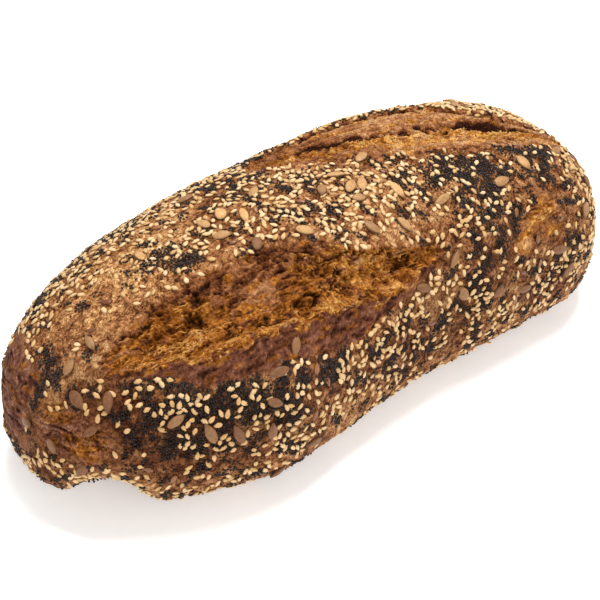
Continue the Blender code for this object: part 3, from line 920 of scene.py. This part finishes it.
# %% Densities of the seeds
SESAME_PATCHES = (
    (-25, 0, 45, 13, 1.15), (12, -22, 30, 14, 1.2), (50, -45, 14, 9, 0.4), (-97, 22, 10, 9, 0.7),
    (-127, 18, 8, 10, 1.3), (-15, -76, 38, 12, 0.5), (30, -72, 22, 14, 0.3), (-65, -92, 20, 9, 0.5),
    (-120, -42, 10, 10, 0.7), (-130, -62, 5, 24, 0.7), (-136, -100, 10, 22, 1.0), (-40, 38, 90, 16, 2.0),
    (95, 12, 40, 14, 2.4), (118, -30, 14, 40, 1.1), (92, -84, 16, 12, 0.7), (60, -92, 40, 10, 0.2),
    (-95, -118, 20, 14, 0.5), (-84, -66, 26, 12, 0.4), (66, 34, 40, 10, 0.8)
)
SESAME_GAPS = (
    (-100, -2, 26, 16, 0.55), (68, -32, 20, 9, 0.35), (104, -38, 12, 8, 0.4), (-100, -88, 12, 8, 0.3)
)
POPPY_PATCHES = (
    (47, -23, 13, 9, 0.9), (63, -40, 15, 11, 1.0), (62, -56, 10, 9, 0.8), (42, -74, 7, 10, 0.8),
    (-70, -4, 7, 4, 0.9), (-130, -4, 9, 13, 1.0), (-104, -62, 15, 12, 1.4), (-82, -66, 15, 11, 1.4),
    (-64, -72, 13, 8, 1.0), (-86, -82, 9, 7, 0.8), (99, -31, 14, 9, 0.6), (103, -56, 9, 12, 0.5),
    (-39, 2, 9, 6, 0.6), (0, 0, 12, 5, 0.6), (-15, -14, 8, 5, 0.6), (-34, -70, 12, 10, 0.6),
    (-95, 44, 30, 10, 0.7), (90, -88, 14, 8, 0.5), (-57, -85, 8, 6, 0.6), (30, 38, 80, 12, 0.8),
    (-80, -94, 26, 10, 0.2), (30, -84, 26, 9, 0.35), (54, -18, 14, 8, 0.5), (66, -32, 12, 8, 0.5),
    (92, -22, 14, 7, 0.5), (-110, -82, 12, 12, 0.35)
)
POPPY_GAPS = ((-96, -8, 22, 9, 0.6), (-108, 10, 14, 8, 0.3))

far_side = smooth_step(40, 70, degrees)
drift = noise_at(plain, 13)
fine_drift = noise_at(plain + 0.2, 5)
free = (1 - smooth_step(0.25, 0.6, kinds["torn"])) * smooth_step(1.0, 4.0, loaf_points[:, 2] / MM)
sesame_density = (0.30 + patches_at(SESAME_PATCHES, loaf_x, degrees)
                  - patches_at(SESAME_GAPS, loaf_x, degrees))
sesame_density = np.clip(sesame_density + 0.5 * far_side + 0.7 * drift, 0.04, None) * free
poppy_density = (patches_at(POPPY_PATCHES, loaf_x, degrees) - patches_at(POPPY_GAPS, loaf_x, degrees)
                 + 0.25 * far_side)
poppy_density = np.clip(poppy_density + 0.5 * drift + 1.6 * fine_drift - 0.27, 0.0, 1.3) ** 1.3 * free
store(loaf.data, "poppy", np.clip(poppy_density, 0, 1))
print("mean density of sesame", round(float(sesame_density.mean()), 2),
      "poppy", round(float(poppy_density.mean()), 2))

# %% [markdown]
# ## Helpers for colours
#
# A few short functions stand for the nodes that the materials use most. Each takes the tree that it
# builds in and gives back the output of its node.

# %% Small helpers for colours
def read(tree, name):
    """The value of a stored attribute."""
    return add_node(tree, "ShaderNodeAttribute", attribute_name=name).outputs["Fac"]


def blend_colours(tree, share, first, second, kind="MIX"):
    """Mixes two colours by a share."""
    made = add_node(tree, "ShaderNodeMix", data_type="RGBA", blend_type=kind)
    for socket, value in ((made.inputs["Factor"], share), (made.inputs[6], first), (made.inputs[7], second)):
        if isinstance(value, bpy.types.NodeSocket):
            tree.links.new(value, socket)
        else:
            socket.default_value = value
    return made.outputs[2]


def calculate(tree, operation, *values, clamp=False):
    """One Math node."""
    return add_node(tree, "ShaderNodeMath", dict(enumerate(values)), operation=operation,
                    use_clamp=clamp).outputs[0]


def to_range(tree, value, low, high, new_low=0.0, new_high=1.0):
    """Maps low..high to new_low..new_high, softly and held at the ends."""
    return add_node(tree, "ShaderNodeMapRange",
                    {"Value": value, "From Min": low, "From Max": high,
                     "To Min": new_low, "To Max": new_high},
                    interpolation_type="SMOOTHSTEP").outputs["Result"]


def colour_ramp(tree, value, stops):
    """A colour for each value, between stops of (value, colour)."""
    made = add_node(tree, "ShaderNodeValToRGB", {"Fac": value})
    elements = made.color_ramp.elements
    while len(elements) < len(stops):
        elements.new(0.5)
    for element, (place, colour) in zip(elements, stops):
        element.position = place
        element.color = (*colour, 1)
    return made.outputs["Color"]


def noise_texture(tree, size, detail, distortion=0.0):
    """Noise on Object coordinates, 0 to 1; size counts its swells in a metre."""
    where = add_node(tree, "ShaderNodeTexCoord").outputs["Object"]
    return add_node(tree, "ShaderNodeTexNoise", {"Vector": where, "Scale": size, "Detail": detail,
                                                 "Roughness": 0.62, "Distortion": distortion}).outputs["Fac"]


print("helpers: read, blend, calculate, range, ramp and noise")

# %% [markdown]
# ## Speckle
#
# Nothing on bread is one flat colour. The crust, the crumb and the seeds all carry a fine mottle, so it
# is one node group with its own size and contrast in each material. It gives a grey value round 1 that
# multiplies a colour, and the same pattern as a height.

# %% Speckle group
speckle = bpy.data.node_groups.new("speckle", "ShaderNodeTree")
for name, value in (("Size", 1000), ("Contrast", 0.5)):
    speckle.interface.new_socket(name, in_out="INPUT", socket_type="NodeSocketFloat").default_value = value
for name in ("Value", "Height"):
    speckle.interface.new_socket(name, in_out="OUTPUT", socket_type="NodeSocketFloat")
group_in = add_node(speckle, "NodeGroupInput")
group_out = add_node(speckle, "NodeGroupOutput")
where = add_node(speckle, "ShaderNodeTexCoord").outputs["Object"]
grain = add_node(speckle, "ShaderNodeTexNoise",
                 {"Vector": where, "Scale": group_in.outputs["Size"], "Detail": 4.0, "Roughness": 0.65})
centred = calculate(speckle, "SUBTRACT", grain.outputs["Fac"], 0.5)
spread = calculate(speckle, "MULTIPLY_ADD", centred, group_in.outputs["Contrast"], 1.0)
speckle.links.new(spread, group_out.inputs["Value"])
speckle.links.new(grain.outputs["Fac"], group_out.inputs["Height"])


def speckled(tree, size, contrast):
    """Places the speckle group."""
    return add_node(tree, "ShaderNodeGroup", {"Size": size, "Contrast": contrast}, node_tree=speckle)


print("speckle group:", len(speckle.nodes), "nodes")

# %% [markdown]
# ## Crust, skin and crumb
#
# They are one surface that changes kind, so they are one material. Each kind has a ramp of colours from its
# deepest crease to its highest ridge, and the tone stored with the relief chooses on it, so the ramps paint
# shade into creases and pits and light onto ridges. Fine noise moves the tone about, so that the grain is
# finer than the mesh. Deep places are painted not only darker but redder, as painted shade, since the light
# that reaches them has gone from one brown wall to the next.

# %% Colours of the loaf
CRUST_STOPS = (
    (0.0, (0.036, 0.009, 0.003)), (0.30, (0.150, 0.048, 0.016)), (0.55, (0.325, 0.126, 0.044)),
    (0.78, (0.480, 0.226, 0.088)), (1.0, (0.700, 0.420, 0.200))
)
BROWN_STOPS = (
    (0.0, (0.030, 0.007, 0.002)), (0.30, (0.145, 0.043, 0.013)), (0.55, (0.305, 0.110, 0.038)),
    (0.78, (0.455, 0.200, 0.078)), (1.0, (0.660, 0.380, 0.180))
)
GOLD_STOPS = (
    (0.0, (0.034, 0.009, 0.001)), (0.30, (0.150, 0.043, 0.0035)), (0.55, (0.332, 0.105, 0.013)),
    (0.78, (0.505, 0.195, 0.033)), (1.0, (0.780, 0.430, 0.125))
)
DUSK_TINT = (0.61, 0.58, 0.86, 1)
DARK_BAKE_AND_SHADE = (0.42, 0.34, 0.30, 1)
PALE_BAKE_AND_LIGHT = (1.28, 1.39, 1.37, 1)
CREASE_WIDTH = 0.045

loaf_paint, tree, shader = new_material("crust_and_crumb", roughness=0.7)
shader.inputs["Specular IOR Level"].default_value = 0.08

tone_value = read(tree, "tone")
swells = noise_texture(tree, 360.0, 5.0, 0.5)
creased = calculate(tree, "ABSOLUTE", calculate(tree, "SUBTRACT", noise_texture(tree, 300.0, 3.0, 1.2), 0.5))
crease = to_range(tree, creased, 0.0, CREASE_WIDTH, 1.0, 0.0)
fine = speckled(tree, 1000.0, 1.0)
grain = calculate(tree, "SUBTRACT", fine.outputs["Height"], 0.5)
swell_share = calculate(tree, "SUBTRACT", swells, 0.5)

crust_tone = calculate(tree, "MULTIPLY_ADD", swell_share, 1.9, 0.60)
crust_tone = calculate(tree, "MULTIPLY_ADD", tone_value, 0.30, crust_tone)
# Noise creases are darkened as painted shade.
crust_tone = calculate(tree, "MULTIPLY_ADD", crease, -0.30, crust_tone)
crust_tone = calculate(tree, "MULTIPLY_ADD", grain, 0.9, crust_tone, clamp=True)
crust_colour = colour_ramp(tree, crust_tone, CRUST_STOPS)
# The crust is darkened where the bake attribute is high, as bake and painted shade, and lightened where it is
# low, as paler bake and painted light.
bake_and_shade_value = read(tree, "bake_and_shade")
for share, tint in ((to_range(tree, bake_and_shade_value, 0.0, 1.0), DARK_BAKE_AND_SHADE),
                    (to_range(tree, bake_and_shade_value, 0.0, -0.6), PALE_BAKE_AND_LIGHT),
                    # Under poppy drifts the crust is darkened as painted shade between the seeds.
                    (calculate(tree, "MULTIPLY", read(tree, "poppy"), 0.75), DARK_BAKE_AND_SHADE)):
    crust_colour = blend_colours(tree, share, crust_colour, tint, "MULTIPLY")

torn_tone = calculate(tree, "MULTIPLY_ADD", tone_value, 0.33, 0.512)
torn_tone = calculate(tree, "MULTIPLY_ADD", swell_share, 0.75, torn_tone)
torn_tone = calculate(tree, "MULTIPLY_ADD", grain, 1.1, torn_tone, clamp=True)
# On dusk skin the brown is darkened and made purplish; on the left end this is painted shade.
brown_colour = blend_colours(tree, read(tree, "dusk"), colour_ramp(tree, torn_tone, BROWN_STOPS),
                             DUSK_TINT, "MULTIPLY")
gold_colour = colour_ramp(tree, torn_tone, GOLD_STOPS)
torn_colour = blend_colours(tree, read(tree, "golden"), brown_colour, gold_colour)
torn_share = read(tree, "torn")
colour = blend_colours(tree, torn_share, crust_colour, torn_colour)
print("three ramps of", len(CRUST_STOPS), "colours")

# %% [markdown]
# ## Poppy seeds sunk in the crust
#
# In a black patch the seeds lie more than one deep, and between the round ones that are modelled below
# others are half sunk. A cell pattern stands for those: where the density of poppy seeds is high, most
# cells hold a dark dot, which is also a small dome in the bump.

# %% Sunk poppy seeds and bump
POPPY_STAIN = (0.020, 0.010, 0.006, 1)
POPPY_CELLS = 980.0
BUMP_DEPTH = 1.2 * MM

cells = add_node(tree, "ShaderNodeTexVoronoi",
                 {"Vector": add_node(tree, "ShaderNodeTexCoord").outputs["Object"], "Scale": POPPY_CELLS})
cell_number = add_node(tree, "ShaderNodeSeparateColor", {"Color": cells.outputs["Color"]}).outputs["Red"]
present = calculate(tree, "LESS_THAN", cell_number, calculate(tree, "MULTIPLY", read(tree, "poppy"), 1.1))
sunk_seed = calculate(tree, "MULTIPLY", to_range(tree, cells.outputs["Distance"], 0.52, 0.40), present)
colour = blend_colours(tree, calculate(tree, "MULTIPLY", sunk_seed, 0.9), colour, POPPY_STAIN)
tree.links.new(colour, shader.inputs["Base Color"])

dome = calculate(tree, "MULTIPLY", to_range(tree, cells.outputs["Distance"], 0.55, 0.0), present)
skin_height = calculate(tree, "MULTIPLY_ADD", crease, -0.40, calculate(tree, "MULTIPLY", swells, 2.2))
all_heights = calculate(tree, "MULTIPLY_ADD", fine.outputs["Height"], 0.6, skin_height)
all_heights = calculate(tree, "MULTIPLY_ADD", dome, 0.5, all_heights)
bump = add_node(tree, "ShaderNodeBump", {"Height": all_heights, "Strength": 1.0, "Distance": BUMP_DEPTH})
tree.links.new(bump.outputs["Normal"], shader.inputs["Normal"])
rough = calculate(tree, "MULTIPLY_ADD", torn_share, 0.15,
                  to_range(tree, swells, 0.3, 0.7, 0.46, 0.74), clamp=True)
tree.links.new(rough, shader.inputs["Roughness"])
loaf.data.materials.append(loaf_paint)
print("loaf material:", len(tree.nodes), "nodes")

# %% [markdown]
# ## Scattering
#
# A place is drawn on a face, with a chance that follows the face's area and density, and kept if no
# other seed lies too close. A coarse table of cubes holds the places found so far, so each new one is
# compared with its neighbours only. A seed bridges the small creases of the crust, so it is turned to
# the mean of the crust's own slope and the plain dough's.

# %% Scatter
FACE_TRIES = 6

corner = loaf_points[loaf_faces]
face_area = np.linalg.norm(np.cross(corner[:, 1] - corner[:, 0], corner[:, 2] - corner[:, 0]), axis=1) / 2
loaf_chart = np.stack([loaf_x, degrees], axis=-1)


def scatter(density, count, gap, series, taken=(), plain_share=0.5):
    """Places on the loaf: points, normals and chart values. taken holds (points, distance to keep)."""
    draw = np.random.default_rng(series)
    weight = face_area * density[loaf_faces].mean(axis=1)
    tries = count * FACE_TRIES
    face = draw.choice(len(weight), size=tries, p=weight / weight.sum())
    a, b = draw.random(tries), draw.random(tries)
    a, b = np.where(a + b > 1, 1 - a, a), np.where(a + b > 1, 1 - b, b)
    mixing = np.stack([1 - a - b, a, b], axis=-1)[:, :, None]
    both_normals = plain_share * plain_normals + (1 - plain_share) * loaf_normals
    at, normal, chart = [(values[loaf_faces[face]] * mixing).sum(axis=1)
                         for values in (loaf_points, both_normals, loaf_chart)]
    cube = max([gap] + [keep_away for _, keep_away in taken])
    cubes, kept = {}, []
    for others, keep_away in taken:
        for p in others:
            cubes.setdefault(tuple((p // cube).astype(int)), []).append((p, keep_away))
    for i in range(tries):
        cell = (at[i] // cube).astype(int)
        near = [found for dx in (-1, 0, 1) for dy in (-1, 0, 1) for dz in (-1, 0, 1)
                for found in cubes.get((cell[0] + dx, cell[1] + dy, cell[2] + dz), ())]
        x, y, z = at[i]
        if all((x - p[0]) ** 2 + (y - p[1]) ** 2 + (z - p[2]) ** 2 > least * least for p, least in near):
            cubes.setdefault(tuple(cell), []).append((at[i], gap))
            kept.append(i)
            if len(kept) == count:
                break
    normal = normal[kept] / np.linalg.norm(normal[kept], axis=1, keepdims=True)
    return at[kept], normal, chart[kept]


print("area of the loaf, cm2:", round(float(face_area.sum()) * 10000))

# %% [markdown]
# ## Many seeds as one piece
#
# Thousands of separate objects would be slow, so the seeds of a kind are one mesh: the same small
# mesh, made once with a sphere operator, is copied by arrays to every place. Each copy keeps a random
# number of its own, which its material reads to tint it.

# %% Joined seeds
def template(segments, rings, shape, lying=True):
    """A small closed ball of unit length, bent by shape(points). Lying, its poles are at the ends of X."""
    bm = bmesh.new()
    turn = Matrix.Rotation(math.pi / 2, 4, "Y") if lying else Matrix.Identity(4)
    bmesh.ops.create_uvsphere(bm, u_segments=segments, v_segments=rings, radius=0.5, matrix=turn)
    bmesh.ops.triangulate(bm, faces=bm.faces)
    points = shape(np.array([v.co for v in bm.verts]))
    faces = np.array([[v.index for v in f.verts] for f in bm.faces])
    bm.free()
    return points, faces


def seed_frames(normals, turns, tilt, series):
    """A frame for each seed: its length lies in the surface at the given turn, rocked by up to tilt."""
    draw = np.random.default_rng(series)
    up = normals + draw.normal(0, tilt, normals.shape)
    up /= np.linalg.norm(up, axis=1, keepdims=True)
    side = np.cross(up, np.where(np.abs(up[:, :1]) < 0.9, [[1.0, 0, 0]], [[0, 1.0, 0]]))
    side /= np.linalg.norm(side, axis=1, keepdims=True)
    other = np.cross(up, side)
    along = side * np.cos(turns)[:, None] + other * np.sin(turns)[:, None]
    return np.stack([along, np.cross(up, along), up], axis=-1)


def joined_seeds(name, ball, size, places, lift, turns, tilt, growth, tints, series):
    """One piece of all the seeds of a kind, each grown a little differently and lifted out of the crust.

    The size and the lift are in mm. A seed that would reach below the table is lifted onto it.
    """
    at, normals, chart = places
    points, faces = ball
    sizes = np.array(size) * MM * growth
    frames = seed_frames(normals, turns, tilt, series)
    centres = at + normals * np.reshape(lift * MM, (-1, 1))
    world = np.einsum("nij,nkj->nki", frames, points[None] * sizes[:, None, :]) + centres[:, None, :]
    world[:, :, 2] += np.maximum(-world[:, :, 2].min(axis=1), 0.0)[:, None]
    count, each = world.shape[:2]
    all_faces = (faces[None] + each * np.arange(count)[:, None, None]).reshape(-1, 3)
    mesh = bpy.data.meshes.new(name)
    mesh.from_pydata(world.reshape(-1, 3).tolist(), [], all_faces.tolist())
    mesh.shade_smooth()
    store(mesh, "tint", np.repeat(tints, each))
    store(mesh, "bake_and_shade", np.repeat(patches_at(BAKE_AND_SHADE_PATCHES, *chart.T), each))
    # Where a seed's rim turns down into the crust it gets painted shade; its pointed end is darkened as the
    # seed's own colour.
    rim_shade = 1 - smooth_step(0.1, 0.8, points[:, 2] / (np.hypot(points[:, 1], points[:, 2]) + 0.001))
    store(mesh, "rim_shade_and_tip", np.tile(np.maximum(rim_shade, 0.8 * smooth_step(0.1, 0.5, points[:, 0])), count))
    print(name, count, "seeds,", len(all_faces), "triangles")
    return add_object(name, mesh)


# %% [markdown]
# ## Sunflower kernels
#
# The largest seeds come first, so that the small ones can lie round them. A hulled kernel is a flat
# drop, 7 to 10 mm long and brown when baked, with a blunt end and a pointed one. Those that stand out
# on the real loaf lie where they were measured, and the rest are drawn at random.

# %% Kernels
FULL_TURN = 2 * math.pi
KERNEL_COUNT = 84
KERNEL_SIZE = (8.2, 4.1, 2.5)
KERNEL_PLACES = (
    (-122, -12), (-140, -8), (-127, -33), (-128, -60), (-138, -77), (-132, -92), (-119, -45), (-92, -77),
    (-83, -82), (-70, -85), (-67, -73), (-63, -62), (-36, -2), (-77, 8), (-41, -13), (8, -11), (14, -13),
    (25, -21), (9, -2), (4, -31), (17, -38), (39, -35), (34, -62), (35, -78), (14, -66), (54, -83),
    (68, -88), (-52, -56), (-41, 3), (-50, 3), (7, -18)
)


def kernel_shape(points):
    """A flat drop with a pointed end at +X and two soft grooves along its back."""
    x, y, z = points.T
    width = 1.04 - 0.46 * smooth_step(-0.05, 0.5, x)
    grooves = 1 - 0.24 * np.exp(-((np.abs(y) - 0.17) / 0.07) ** 2)
    return np.stack([x, y * width, z * grooves * (1.0 - 0.25 * smooth_step(0.1, 0.5, x))], axis=-1)


draw = np.random.default_rng(5)
measured = [int(np.argmin(((loaf_chart / (MM, 1) - np.array(p)) ** 2).sum(axis=1))) for p in KERNEL_PLACES]
kernel_density = free * (0.6 + 0.8 * (far_side + (loaf_x > 0.1)))
kernel_density = kernel_density * smooth_step(4, 12, loaf_points[:, 2] / MM)
drawn = scatter(kernel_density, KERNEL_COUNT - len(measured), 11 * MM, 11,
                [(loaf_points[measured], 10 * MM)], plain_share=0.85)
kernel_places = [np.concatenate([values[measured], more])
                 for values, more in zip((loaf_points, plain_normals, loaf_chart), drawn)]
count = len(kernel_places[0])
# Kernels towards the front are tinted darker, partly bake and partly painted shade on the side turned from
# the light.
front_bake_and_shade = 0.45 * smooth_step(-20, -50, kernel_places[2][:, 1])
kernels = joined_seeds("sunflower_kernels", template(24, 12, kernel_shape), KERNEL_SIZE, kernel_places,
                       lift=0.35, turns=draw.uniform(0, FULL_TURN, count), tilt=0.10,
                       growth=draw.normal(1, 0.10, (count, 3)).clip(0.8, 1.2),
                       tints=np.minimum(draw.random(count) + front_bake_and_shade, 1.0), series=12)

# %% [markdown]
# ## Linseeds
#
# Here and there among the kernels lies a linseed: a flat glossy brown drop, a little over 4 mm.

# %% Linseeds
LINSEED_COUNT = 90
LINSEED_SIZE = (4.4, 2.3, 1.0)


def drop_shape(points):
    """A flat drop with its tip at +X."""
    x, y, z = points.T
    width = 1.06 - 0.52 * smooth_step(-0.15, 0.55, x)
    return np.stack([x, y * width, z * (1.05 - 0.3 * smooth_step(0.0, 0.5, x))], axis=-1)


linseed_places = scatter(free, LINSEED_COUNT, 8 * MM, 15, [(kernel_places[0], 5.5 * MM)])
draw = np.random.default_rng(16)
count = len(linseed_places[0])
linseeds = joined_seeds("linseeds", template(10, 6, drop_shape), LINSEED_SIZE, linseed_places,
                        lift=0.25, turns=draw.uniform(0, FULL_TURN, count), tilt=0.1,
                        growth=draw.normal(1, 0.07, (count, 3)).clip(0.85, 1.15),
                        tints=draw.random(count), series=17)

# %% [markdown]
# ## Sesame seeds
#
# A sesame seed is a flat pear, a little over 3 mm long. The seeds were pressed into wet dough, so each
# one is sunk a little, and no two are turned alike.

# %% Sesame
SESAME_COUNT = 3600
SESAME_SIZE = (3.35, 2.0, 1.05)

sesame_places = scatter(sesame_density, SESAME_COUNT, 1.8 * MM, 21,
                        [(kernel_places[0], 3.0 * MM), (linseed_places[0], 2.2 * MM)])
draw = np.random.default_rng(22)
count = len(sesame_places[0])
sesame = joined_seeds("sesame_seeds", template(8, 4, drop_shape), SESAME_SIZE, sesame_places,
                      lift=draw.uniform(0.10, 0.50, count), turns=draw.uniform(0, FULL_TURN, count),
                      tilt=0.18, growth=draw.normal(1, 0.08, (count, 3)).clip(0.8, 1.22),
                      tints=draw.random(count), series=23)

# %% [markdown]
# ## Poppy seeds
#
# Poppy seeds are the smallest, about 1 mm, and they lie so thick that whole patches are black. There
# are over sixteen thousand, so each is a six-sided bead of only 12 triangles, shaded smooth.

# %% Poppy
POPPY_COUNT = 16400
POPPY_SIZE = (1.18, 1.08, 1.0)


def bead_shape(points):
    """A six-sided bead, a little fuller at one end."""
    x, y, z = points.T
    return np.stack([x, y * (1 + 0.2 * x), z], axis=-1)


poppy_places = scatter(poppy_density, POPPY_COUNT, 0.80 * MM, 31,
                       [(kernel_places[0], 2.4 * MM), (sesame_places[0], 0.9 * MM)])
draw = np.random.default_rng(32)
count = len(poppy_places[0])
poppy = joined_seeds("poppy_seeds", template(6, 2, bead_shape, lying=False), POPPY_SIZE, poppy_places,
                     lift=draw.uniform(0.05, 0.40, count), turns=draw.uniform(0, FULL_TURN, count),
                     tilt=0.2, growth=draw.normal(1, 0.09, (count, 3)).clip(0.8, 1.2),
                     tints=draw.random(count), series=33)

# %% [markdown]
# ## Shreds of crumb
#
# Where crumb tore, thin strands of it were pulled out and dried in place. They lie on the palest crumb
# and along its bright edges, across the cut in the bowl and along it elsewhere. They are up to 4 mm
# long and about half a millimetre thick, with both ends sunk.

# %% Crumb shreds
SHRED_COUNT = 750
SHRED_SIZE = (2.4, 0.42, 0.36)


def shred_shape(points):
    """A thin strand that rises a little in its middle."""
    x, y, z = points.T
    return np.stack([x, y, z - 1.6 * x * x + 0.1], axis=-1)


shred_density = kinds["golden"] * np.clip(tone, 0, 1.5) + 0.8 * kinds["bright"]
shred_density *= kinds["crumb"] * np.clip(kinds["torn"] - kinds["bald"] - kinds["end"] - kinds["gap"], 0, 1)
shred_places = scatter(shred_density, SHRED_COUNT, 0.9 * MM, 41)
draw = np.random.default_rng(42)
count = len(shred_places[0])
across_bowl = mound(shred_places[2][:, 0] / MM, shred_places[2][:, 1], *BOWL)
shreds = joined_seeds("crumb_shreds", template(6, 5, shred_shape), SHRED_SIZE, shred_places, lift=0.0,
                      turns=math.pi / 2 * (1 - across_bowl) + draw.normal(0, 0.55, count), tilt=0.25,
                      growth=draw.uniform(0.5, 1.5, (count, 3)), tints=draw.random(count), series=43)

# %% [markdown]
# ## Seed materials
#
# Sesame is ivory where it is hardly toasted and golden where it is, and its tip is darker; its rim is
# darkened as painted shade. Kernels are brown with a dark rim, which is painted shade where they meet the
# crust, linseeds are glossy, poppy seeds black with a faint shine. Each reads the random number of its seed,
# and darkens where the crust under it is painted dark for bake and shade. Grain is the number of swells of
# the speckle in a metre.

# %% Seed materials
SEED_LOOKS = {
    sesame: dict(pale=(0.71, 0.52, 0.30, 1), dark=(0.50, 0.31, 0.125, 1), baked_and_shaded=(0.50, 0.28, 0.105, 1),
                 rim_shade=(0.46, 0.24, 0.08, 1), roughness=0.5, shine=0.18, grain=900.0, contrast=0.5),
    kernels: dict(pale=(0.56, 0.325, 0.135, 1), dark=(0.180, 0.082, 0.036, 1),
                  baked_and_shaded=(0.15, 0.062, 0.028, 1), rim_shade=(0.08, 0.032, 0.014, 1),
                  roughness=0.45, shine=0.16, grain=800.0, contrast=1.8),
    linseeds: dict(pale=(0.30, 0.115, 0.035, 1), dark=(0.14, 0.045, 0.016, 1),
                   baked_and_shaded=(0.12, 0.04, 0.016, 1), roughness=0.35, shine=0.4, grain=900.0, contrast=0.4),
    poppy: dict(pale=(0.042, 0.035, 0.034, 1), dark=(0.013, 0.009, 0.008, 1),
                baked_and_shaded=(0.014, 0.008, 0.006, 1), roughness=0.42, shine=0.16, grain=900.0, contrast=0.8),
    shreds: dict(pale=(0.56, 0.27, 0.065, 1), dark=(0.27, 0.10, 0.020, 1), baked_and_shaded=(0.25, 0.09, 0.020, 1),
                 roughness=0.8, shine=0.1, grain=1300.0, contrast=0.9),
}


def seed_material(name, pale, dark, baked_and_shaded, roughness, shine, grain, contrast, rim_shade=None):
    """A seed's colour: between pale and dark by its own number, towards baked by the place's bake."""
    material, tree, shader = new_material(name, roughness)
    shader.inputs["Specular IOR Level"].default_value = shine
    mottle = speckled(tree, grain, contrast).outputs
    uneven = calculate(tree, "SUBTRACT", mottle["Height"], 0.5)
    share = calculate(tree, "MULTIPLY_ADD", uneven, 0.5, read(tree, "tint"), clamp=True)
    colour = blend_colours(tree, share, pale, dark)
    # The rim is darkened as painted shade: a darker gold on sesame, a dark contact shadow on kernels.
    if rim_shade:
        colour = blend_colours(tree, to_range(tree, read(tree, "rim_shade_and_tip"), 0.1, 1.0, 0.0, 0.8), colour, rim_shade)
    # Seeds go towards the baked colour where the crust under them is painted dark for bake and shade.
    colour = blend_colours(tree, to_range(tree, read(tree, "bake_and_shade"), 0.0, 1.0, 0.0, 0.6), colour, baked_and_shaded)
    grey = add_node(tree, "ShaderNodeCombineColor", dict.fromkeys(("Red", "Green", "Blue"), mottle["Value"]))
    tree.links.new(blend_colours(tree, 1.0, colour, grey.outputs[0], "MULTIPLY"), shader.inputs["Base Color"])
    bump = add_node(tree, "ShaderNodeBump",
                    {"Height": mottle["Height"], "Strength": 0.4, "Distance": 0.2 * MM})
    tree.links.new(bump.outputs["Normal"], shader.inputs["Normal"])
    return material


for piece, look in SEED_LOOKS.items():
    piece.data.materials.append(seed_material(piece.name, **look))
    print(piece.name, "roughness", look["roughness"])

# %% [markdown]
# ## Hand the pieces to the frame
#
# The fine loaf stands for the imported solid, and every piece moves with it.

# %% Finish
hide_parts("loaf")
for piece in (loaf, kernels, linseeds, sesame, poppy, shreds):
    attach(piece, "root")

bpy.context.view_layer.update()
print("made in", round(time.time() - start_time, 1), "s")
